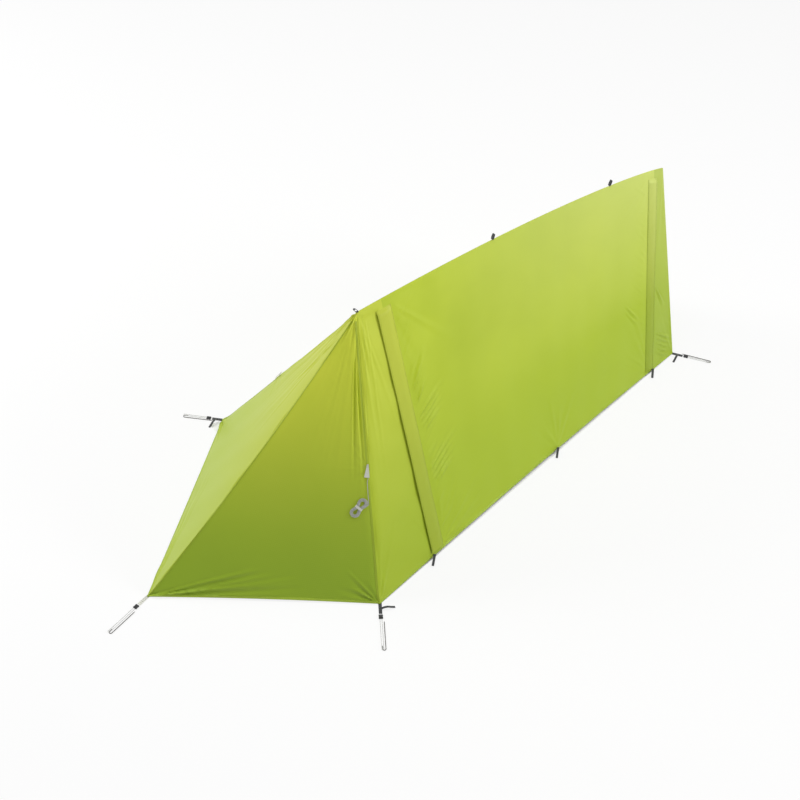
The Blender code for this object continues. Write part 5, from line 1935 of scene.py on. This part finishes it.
@dataclass
class SeamTab:
    """A folded pale tab on a front seam, and on the near side the guy line bundled under it."""

    canopy: Canopy
    finishes: Finishes
    side: int
    at: float = 0.510
    length: float = 0.060
    width: float = 0.026
    thickness: float = 0.0016
    guy_diameter: float = 0.0028
    guy_pitch: float = 0.0034
    loops: int = 8
    layers: int = 2
    run: float = 0.056
    inner_radius: float = 0.0095
    # How far the strap draws the hank's runs together at the waist
    pinch: float = 0.0074
    # Share of a turn in which the line climbs to the upper layer
    climb: float = 0.30
    drop: float = 0.086
    side_step: float = 0.051
    tilt: float = 0.95
    loop_points: int = 40
    tie_width: float = 0.012
    tie_thickness: float = 0.0006

    def _axes(self) -> tuple[Array, Array, Array, Array]:
        """Base point of the tab, and the directions down the seam, across the panel and off it.

        Returns:
            The point and the three directions.
        """
        shape = self.canopy
        corner = shape.corner(self.side)
        top = shape.peak + (corner - shape.peak) * self.at
        fall = unit(corner - top)
        across = unit(shape.nose - corner)
        normal = unit(np.cross(fall, across))
        normal = normal if normal[1] * self.side > 0 else -normal
        across = unit(across - fall * across.dot(fall))
        return top + across * 0.002 + normal * 0.0006, fall, across, normal

    def build(self) -> None:
        """Builds the tab, and the bundled line on the near side."""
        base, fall, across, normal = self._axes()
        name = "near" if self.side == NEAR else "far"
        shares = np.linspace(0, 1, 14)
        widths = self.width * (0.25 + 0.70 * shares)
        path = base + np.outer(shares * self.length, fall) + np.outer(widths / 2, across)
        path += np.outer(0.0016 + 0.0009 * np.sin(shares * math.pi), normal)
        parts = MeshParts().loft(strap_sections(path, across, widths, self.thickness))
        item = parts.object(f"{name}_seam_tab_tape", self.finishes.tape)
        finished(item, TENT, PALE_SLOT, f"{name}_seam_tab")
        lines = []
        for share in (0.10, 0.16, 0.22):
            spot = base + fall * share * self.length + normal * 0.0034
            lines.append(np.array([spot + across * self.width * 0.08, spot + across * self.width * 0.88]))
        TAB_ROWS.sew(f"{name}_seam_tab_stitches", lines, self.finishes.dark_thread, TENT, PALE_SLOT)
        if self.side == NEAR:
            self._hank(base + across * self.width * 0.3 + fall * self.length, fall, across, normal)

    def _winding(self) -> list[Vector]:
        """The hank's turns in its own plane: X down the hank, Y across it, Z off the cloth.

        Returns:
            The points.
        """
        per_layer = self.loops // self.layers
        straight = self.loop_points // 4
        round_end = self.loop_points // 2 - straight
        points = []
        for k in range(self.loops * self.loop_points + 1):
            turn = k / self.loop_points
            layer = min(int(turn // per_layer), self.layers - 1)
            into = turn - layer * per_layer
            caught_up = into if into > 2 * self.climb else max(into - self.climb, 0.0) * 2
            outward = caught_up if layer else per_layer - into
            radius = self.inner_radius + self.guy_pitch * outward
            height = self.guy_pitch * min(into / self.climb, 1.0) if layer else 0.0
            half_turn, step = divmod(k % self.loop_points, self.loop_points // 2)
            sign = 1 if half_turn == 0 else -1
            if step < straight:
                share = step / straight
                drawn = self.pinch * math.sin(math.pi * share) ** 2
                points.append(Vector((sign * (share - 0.5) * self.run, sign * (radius - drawn), height)))
            else:
                angle = math.pi * (step - straight) / round_end
                points.append(Vector((sign * (self.run / 2 + radius * math.sin(angle)),
                                      sign * radius * math.cos(angle), height)))
        return points

    def _hank(self, *tab: Array) -> None:
        """The guy line wound into a flat hank, with the strap that ties it.

        Args:
            *tab: The tab's tip, and the directions down the seam, across the panel and off it.
        """
        tip, fall, across, normal = (Vector(a) for a in tab)
        length = self.run + 2 * (self.inner_radius + self.guy_pitch * self.loops / self.layers)
        down = (fall + across * self.tilt).normalized()
        centre = (tip + across * self.side_step + fall * (self.drop + length / 2)
                  + normal * (self.guy_diameter / 2 + 0.0012))
        place = frame_at(centre, down, normal)
        wound = [place @ p for p in self._winding()]
        lead_start = tip + fall * 0.0003 + normal * 0.0012
        lead = [lead_start, lead_start + fall * 0.010, lead_start + fall * 0.022 + across * 0.004]
        lead_end = wound[0] - (wound[1] - wound[0]).normalized() * 0.012
        route = smooth_route(lead + [lead_end], 0.007)
        line = GuyLine("bundled_guy_line", "guy_line_hank", self.guy_diameter, 8, "bare", "coiled")
        line.build(np.array(route[:-1] + [lead_end] + wound), self.finishes.cord)
        self._tie(place)

    def _tie(self, place: Matrix) -> None:
        """The strap round the middle of the hank.

        Args:
            place: Placement of the hank's own plane.
        """
        reach = (self.inner_radius - self.pinch + self.guy_pitch * self.loops / self.layers
                 + self.guy_diameter / 2 + 0.0006)
        low = -self.guy_diameter / 2 - 0.0004
        high = self.guy_pitch * (self.layers - 1) + self.guy_diameter / 2 + 0.0006
        ring = soft_box(40, reach + 0.0003, (high - low) / 2 + 0.0003, 0.4, 0.6)
        path = np.array([place @ Vector((0, y, (high + low) / 2 + z)) for y, z in ring])
        side = np.array(place.to_3x3() @ Vector((1, 0, 0)))
        parts = strap_ring(path, side, self.tie_width, self.tie_thickness)
        finished(parts.object("hank_strap", self.finishes.tape), TENT, PALE_SLOT, "guy_line_tie")


def hem_loops(finishes: Finishes) -> list[StrapLoop]:
    """The webbing loops along both hems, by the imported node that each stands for.

    Args:
        finishes: The tent's finishes.

    Returns:
        The loops.
    """
    loops = []
    length, swing, ground_gap = 0.066, 0.85, 0.0012
    for side, label in ((NEAR, "near"), (FAR, "far")):
        for name in ("front", "middle", "rear"):
            node = f"{label}_{name}_hem_loop"
            low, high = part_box(node)
            # The loop falls from its root on the hem to just above the ground
            fall = low.z + high.z - 2 * (StrapLoop.height / 2 + ground_gap)
            out = math.sqrt(length ** 2 - fall ** 2)
            ahead = Vector((-out * math.sin(swing), side * out * math.cos(swing), -fall))
            body = DOOR if node == "near_middle_hem_loop" else TENT
            loops.append(StrapLoop(finishes, node, body, ahead, UP.cross(ahead), length))
    return loops


def ridge_loops(finishes: Finishes) -> list[StrapLoop]:
    """The three loops that stand on the ridge and the front peak."""
    leans = {"front_ridge_loop": 0.25, "rear_ridge_loop": 0.35, "front_peak_loop": -0.9}
    return [StrapLoop(finishes, node, TENT, Vector((lean, 0, 1)), Vector((0, 1, 0)), 0.032)
            for node, lean in leans.items()]


# What stands inside


def dress(item: Item, material: Material) -> None:
    """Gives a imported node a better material."""
    item.data.materials.clear()
    item.data.materials.append(material)


@dataclass
class Poles:
    """Two upright poles in two sections each, and the ridge pole in two sections."""

    canopy: Canopy
    finishes: Finishes
    upright_nodes: tuple[str, ...] = ("front_pole_lower", "front_pole_upper", "rear_pole_lower",
                                      "rear_pole_upper")
    ridge_nodes: tuple[str, ...] = ("ridge_pole_front", "ridge_pole_rear")
    ridge_radius: float = 0.0045
    ridge_end_radius: float = 0.0038
    # Distance from the ridge pole's face to the cloth's outer face
    ridge_gap: float = 0.0015
    sections: int = 60

    def build(self) -> None:
        """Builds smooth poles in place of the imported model's plainer ones."""
        radii = np.full(self.sections, self.ridge_radius)
        radii[0] = radii[-1] = self.ridge_end_radius
        rings = {node: self._turned(node) for node in self.upright_nodes}
        rings |= {node: tube_sections(self._ridge_path(node), radii, 24) for node in self.ridge_nodes}
        for node, sections in rings.items():
            item = MeshParts().loft(sections).object(f"{node}_tube", self.finishes.tube, angle=30)
            finished(item, TENT, POLE_SLOT, node)

    def _ridge_path(self, node: str) -> Array:
        """Points along the middle of one ridge pole section, under the cloth.

        Args:
            node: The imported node.

        Returns:
            The points.
        """
        low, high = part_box(node)
        x = np.linspace(low.x, high.x, self.sections)
        shape = self.canopy
        ridge = shape.ridge(x)
        hem = shape.hem(np.interp(x, shape.rulings[:, 0], shape.rulings[:, 1]), NEAR)
        # The angle between the near wall and the upright
        angle = np.arctan2(-hem[:, 1], ridge[:, 2] - hem[:, 2])
        ridge[:, 2] -= (self.ridge_radius + self.ridge_gap) / np.sin(angle)
        return ridge

    @staticmethod
    def _turned(node: str) -> Array:
        """Rings of one upright section, with its collar and its rounded ends.

        Args:
            node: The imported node.

        Returns:
            Rings by points by three.
        """
        low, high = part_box(node)
        x, foot, top = (low.x + high.x) / 2, low.z, high.z
        if node.endswith("lower"):
            profile = ((0.0036, foot), (0.0060, foot + 0.012), (0.0060, top - 0.056), (0.0062, top - 0.055),
                       (0.0078, top - 0.050), (0.0078, top - 0.030), (0.0074, top - 0.029),
                       (0.0074, top - 0.022), (0.0078, top - 0.021), (0.0078, top - 0.002), (0.0068, top),
                       (0.0054, top))
        else:
            profile = ((0.0050, foot), (0.0050, top - 0.004), (0.0048, top - 0.001), (0.0035, top))
        turns = np.linspace(0, 2 * math.pi, 28, endpoint=False)
        return np.array([[(x + radius * math.cos(a), radius * math.sin(a), z) for a in turns]
                         for radius, z in profile])


@dataclass
class BathtubFloor:
    """The sewn-in tray floor of coated cloth, with soft corners and a hem along its top."""

    canopy: Canopy
    finishes: Finishes
    inset: float = 0.055
    top_inset: float = 0.030
    end_inset: float = 0.036
    corner: float = 0.050
    height: float = 0.080
    cloth: float = 0.0009
    # Pieces of each straight run: near and far sides, front and rear ends
    side_pieces: int = 60
    front_pieces: int = 20
    rear_pieces: int = 10
    corner_pieces: int = 8

    def _outline(self, height: float) -> Array:
        """One level of the tray as a rounded four-sided loop.

        Args:
            height: The level.

        Returns:
            Its points.
        """
        shape = self.canopy
        front = shape.front_x + self.end_inset + self.corner * 0.3
        rear = shape.rear_x - self.end_inset
        lean = self.inset + (self.top_inset - self.inset) * height / self.height
        points = []
        for x, side, quarter in ((rear, 1, 0), (front, 1, 1), (front, -1, 2), (rear, -1, 3)):
            centre_x = x - math.copysign(self.corner, x)
            share = (centre_x - shape.front_x) / shape.body_length
            half = (shape.front_width + (shape.rear_width - shape.front_width) * share) / 2
            width = half * (1 - height / shape.front_height) - lean
            for k in range(self.corner_pieces + 1):
                turn = (quarter + k / self.corner_pieces) * math.pi / 2
                points.append((centre_x + self.corner * math.cos(turn),
                               side * (width - self.corner) + self.corner * math.sin(turn), height))
        runs = (self.side_pieces, self.front_pieces, self.side_pieces, self.rear_pieces)
        split = []
        for k, one in enumerate(points):
            # Only the four straight runs are split, into as many pieces on every level
            quarter, step = divmod(k, self.corner_pieces + 1)
            pieces = runs[quarter] if step == self.corner_pieces else 1
            one, two = np.array(one), np.array(points[(k + 1) % len(points)])
            split += [one + (two - one) * n / pieces for n in range(pieces)]
        return np.array(split)

    def build(self) -> None:
        """Builds the tray and the binding along its top."""
        foot, rim = self._outline(0.0), self._outline(self.height)
        middle = np.array((foot[:, 0].mean(), 0.0, 0.0))
        count = np.arange(len(foot))
        levels = []
        for share in (0.02, 0.15, 0.3, 0.45, 0.6, 0.75, 0.88, 0.96):
            ring = middle + (foot - middle) * share
            wave = np.sin(count * 0.9 + share * 9) * np.sin(count * 0.23 + share * 4)
            ring[:, 2] = 0.0006 + 0.0022 * wave ** 2
            levels.append(ring)
        edge = foot.copy()
        edge[:, 2] = 0.0004
        levels.append(edge)
        ground = len(levels)
        for share in (0.04, 0.12, 0.3, 0.5, 0.7, 0.85, 1.0):
            ring = foot + (rim - foot) * share
            wave = 0.0016 * np.sin(count * 0.7) * np.sin(math.pi * share)
            ring[:, 1] -= np.sign(ring[:, 1]) * np.abs(wave)
            levels.append(ring)
        outer = np.array(levels)
        # The cloth's inner face stands above the ground levels and inside the walls
        inner = outer.copy()
        inner[:ground, :, 2] += self.cloth
        drawn_in = middle + (outer[ground - 1:] - middle) * (1 - self.cloth / 0.6)
        inner[ground - 1:, :, :2] = drawn_in[:, :, :2]
        parts = MeshParts().loft(np.concatenate([outer, inner[::-1]]))
        item = parts.object("floor_cloth", self.finishes.floor, angle=60)
        finished(item, TENT, FLOOR_SLOT, "bathtub_floor")
        rings = []
        for drop, off in ((0.0, 0.0), (0.0, 0.0006), (0.011, 0.0008), (0.012, 0.0002)):
            ring = rim + (foot - rim) * (drop / self.height)
            out = unit(ring - middle) * np.array((1, 1, 0))
            rings.append(ring + out * off + np.array((0, 0, 0.0004 if drop == 0 else 0.0)))
        band = MeshParts().loft(np.stack(rings, axis=1), closed=True)
        finished(band.object("floor_rim_binding", self.finishes.webbing), TENT, FLOOR_SLOT)


# Studio


@dataclass(frozen=True)
class Studio:
    """A pale floor, soft lamps and the camera at the photograph's viewing angle."""

    eye: tuple[float, float, float] = (-3.47, -3.403, 4.924)
    yaw: float = 36.96
    pitch: float = 46.21
    focal_px: float = 1324.4
    principal_px: tuple[float, float] = (333.5, 422.9)
    frame_px: float = 800.0
    sensor_mm: float = 36.0
    floor_reach: float = 40.0
    floor_drop: float = 0.0006
    # How far the floor that is seen is lifted towards white
    floor_lift: float = 0.80
    # The ground that the tent covers: half its length, then half its width at X = 0 and how that
    # changes along X, on the far and on the near side
    covered_length: float = 1.15
    covered_far: tuple[float, float] = (0.532, -0.184)
    covered_near: tuple[float, float] = (0.496, -0.153)
    sky_light: float = 0.34

    def build(self) -> None:
        """Sets up the camera, the floor, the lamps and the world."""
        scene = bpy.context.scene
        scene.view_settings.view_transform = "Standard"
        self._camera(scene)
        self._floor()
        self._lamps()
        self._world(scene)

    def _camera(self, scene: bpy.types.Scene) -> None:
        """Places the camera that was fitted to the photograph.

        Args:
            scene: The scene that gets it.
        """
        data = bpy.data.cameras.new("camera")
        data.sensor_width = self.sensor_mm
        data.lens = self.focal_px / self.frame_px * self.sensor_mm
        data.shift_x = (self.frame_px / 2 - self.principal_px[0]) / self.frame_px
        data.shift_y = (self.principal_px[1] - self.frame_px / 2) / self.frame_px
        data.clip_end = 60
        camera = linked("camera", data)
        turn, tip = math.radians(self.yaw), math.radians(self.pitch)
        ahead = Vector((math.sin(turn) * math.cos(tip), math.cos(turn) * math.cos(tip), -math.sin(tip)))
        camera.location = self.eye
        camera.rotation_euler = ahead.to_track_quat("-Z", "Y").to_euler()
        scene.camera = camera

    def _covered(self, tree: Tree) -> Socket:
        """One on the ground that the tent covers, and nought beyond it.

        Args:
            tree: The floor's node tree.

        Returns:
            The value.
        """
        x, y, _ = axes_of(tree, object_place(tree))
        under = reckon(tree, "LESS_THAN", reckon(tree, "ABSOLUTE", x), self.covered_length)
        for side, (half, slope) in ((FAR, self.covered_far), (NEAR, self.covered_near)):
            edge = reckon(tree, "ADD", reckon(tree, "MULTIPLY", x, slope), half)
            inside = reckon(tree, "LESS_THAN", reckon(tree, "MULTIPLY", y, side), edge)
            under = reckon(tree, "MULTIPLY", under, inside)
        return under

    def _floor(self) -> None:
        """A matt white studio floor that keeps the shadow."""
        reach = self.floor_reach
        mesh = bpy.data.meshes.new("floor")
        mesh.from_pydata([(-reach, -reach, 0), (reach, -reach, 0), (reach, reach, 0), (-reach, reach, 0)], [],
                         [(0, 1, 2, 3)])
        floor = linked("floor", mesh)
        floor.location.z = -self.floor_drop
        # A studio floor gives the eye plain matt white, on which only the tent's soft shadow shows
        material, tree, shader = shader_of("white_studio_floor", Roughness=0.9, Specular_IOR_Level=0.1,
                                           Base_Color=linear("#FCFCFC"))
        # What is seen of it is lifted towards white, apart from the ground under the tent, which stays
        # dark when the door is up
        glow = add(tree, "ShaderNodeEmission", inputs={"Color": (1, 1, 1, 1), "Strength": 1.0})
        open_ground = reckon(tree, "SUBTRACT", 1.0, self._covered(tree))
        lifted = reckon(tree, "MULTIPLY", open_ground, self.floor_lift)
        share = reckon(tree, "MULTIPLY", seen_straight(tree), lifted)
        mixed = add(tree, "ShaderNodeMixShader", inputs={0: share, 1: shader.outputs[0], 2: glow.outputs[0]})
        tree.links.new(mixed.outputs[0], tree.nodes["Material Output"].inputs[0])
        mesh.materials.append(material)

    def _lamps(self) -> None:
        """Soft lamps: a key from the near rear side, a fill from beyond the nose, and a top light."""
        for name, place, aim, size, power in (
                ("key", (5.2, -6.0, 4.4), (0.2, -0.2, 0.4), 3.2, 290.0),
                ("far_fill", (-4.6, 6.0, 4.2), (-0.9, 0.3, 0.4), 3.6, 300.0),
                ("top", (0.4, 0.3, 7.0), (0.0, 0.0, 0.0), 5.0, 170.0)):
            data = bpy.data.lights.new(name, "AREA")
            data.shape = "DISK"
            data.size = size
            data.energy = power
            lamp = linked(name, data)
            lamp.location = place
            lamp.rotation_euler = (Vector(aim) - Vector(place)).to_track_quat("-Z", "Y").to_euler()

    def _world(self, scene: bpy.types.Scene) -> None:
        """An even pale sky that shows as white.

        Args:
            scene: The scene that gets it.
        """
        world = bpy.data.worlds.new("studio")
        world.use_nodes = True
        tree = world.node_tree
        for node in list(tree.nodes):
            tree.nodes.remove(node)
        skies = [add(tree, "ShaderNodeBackground", inputs={"Strength": strength, "Color": (1, 1, 1, 1)})
                 for strength in (self.sky_light, 1.0)]
        mixed = add(tree, "ShaderNodeMixShader",
                    inputs={0: seen_straight(tree), 1: skies[0].outputs[0], 2: skies[1].outputs[0]})
        add(tree, "ShaderNodeOutputWorld", inputs={0: mixed.outputs[0]})
        scene.world = world


def main() -> None:
    """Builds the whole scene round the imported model."""
    logging.basicConfig(level=logging.INFO, format="%(name)s: %(message)s")
    for leftover in list(bpy.data.objects):
        bpy.data.objects.remove(leftover, do_unlink=True)
    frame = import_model()
    canopy = Canopy()
    finishes = Finishes()
    Studio().build()
    corners = (("nose", canopy.nose, (-0.966, -0.259), 0.250, None),
               ("near_front", canopy.hem(canopy.front_x, NEAR), (-0.580, -0.815), 0.252, 1.75),
               ("far_front", canopy.hem(canopy.front_x, FAR), (-0.690, 0.724), 0.205, 1.20),
               ("near_rear", canopy.hem(canopy.rear_x, NEAR), (0.520, -0.854), 0.205, -1.75),
               ("far_rear", canopy.hem(canopy.rear_x, FAR), (0.520, 0.854), 0.205, 1.75))
    for name, corner, heading, reach, tail in corners:
        TieOut(finishes, name, corner, heading, reach, tail, pale=name == "nose").build()
    for side in (NEAR, FAR):
        SeamTab(canopy, finishes, side).build()
    CanopyCloth(canopy, finishes).build()
    StormFlap(canopy, finishes, "front_zip_flap", 1, 1, overlap=0.040).build()
    StormFlap(canopy, finishes, "rear_zip_flap", 2, -1, overlap=0.015).build()
    CoilZip(canopy, finishes, "front_zip", 1, -1).build()
    CoilZip(canopy, finishes, "rear_zip", 2, 1).build()
    for loop in hem_loops(finishes) + ridge_loops(finishes):
        loop.build()
    Poles(canopy, finishes).build()
    for node in ("front_hub", "rear_hub", "front_zip_slider", "rear_zip_slider"):
        dress(frame["nodes"][node], finishes.acetal)
    BathtubFloor(canopy, finishes).build()


if __name__ == "__main__":
    main()
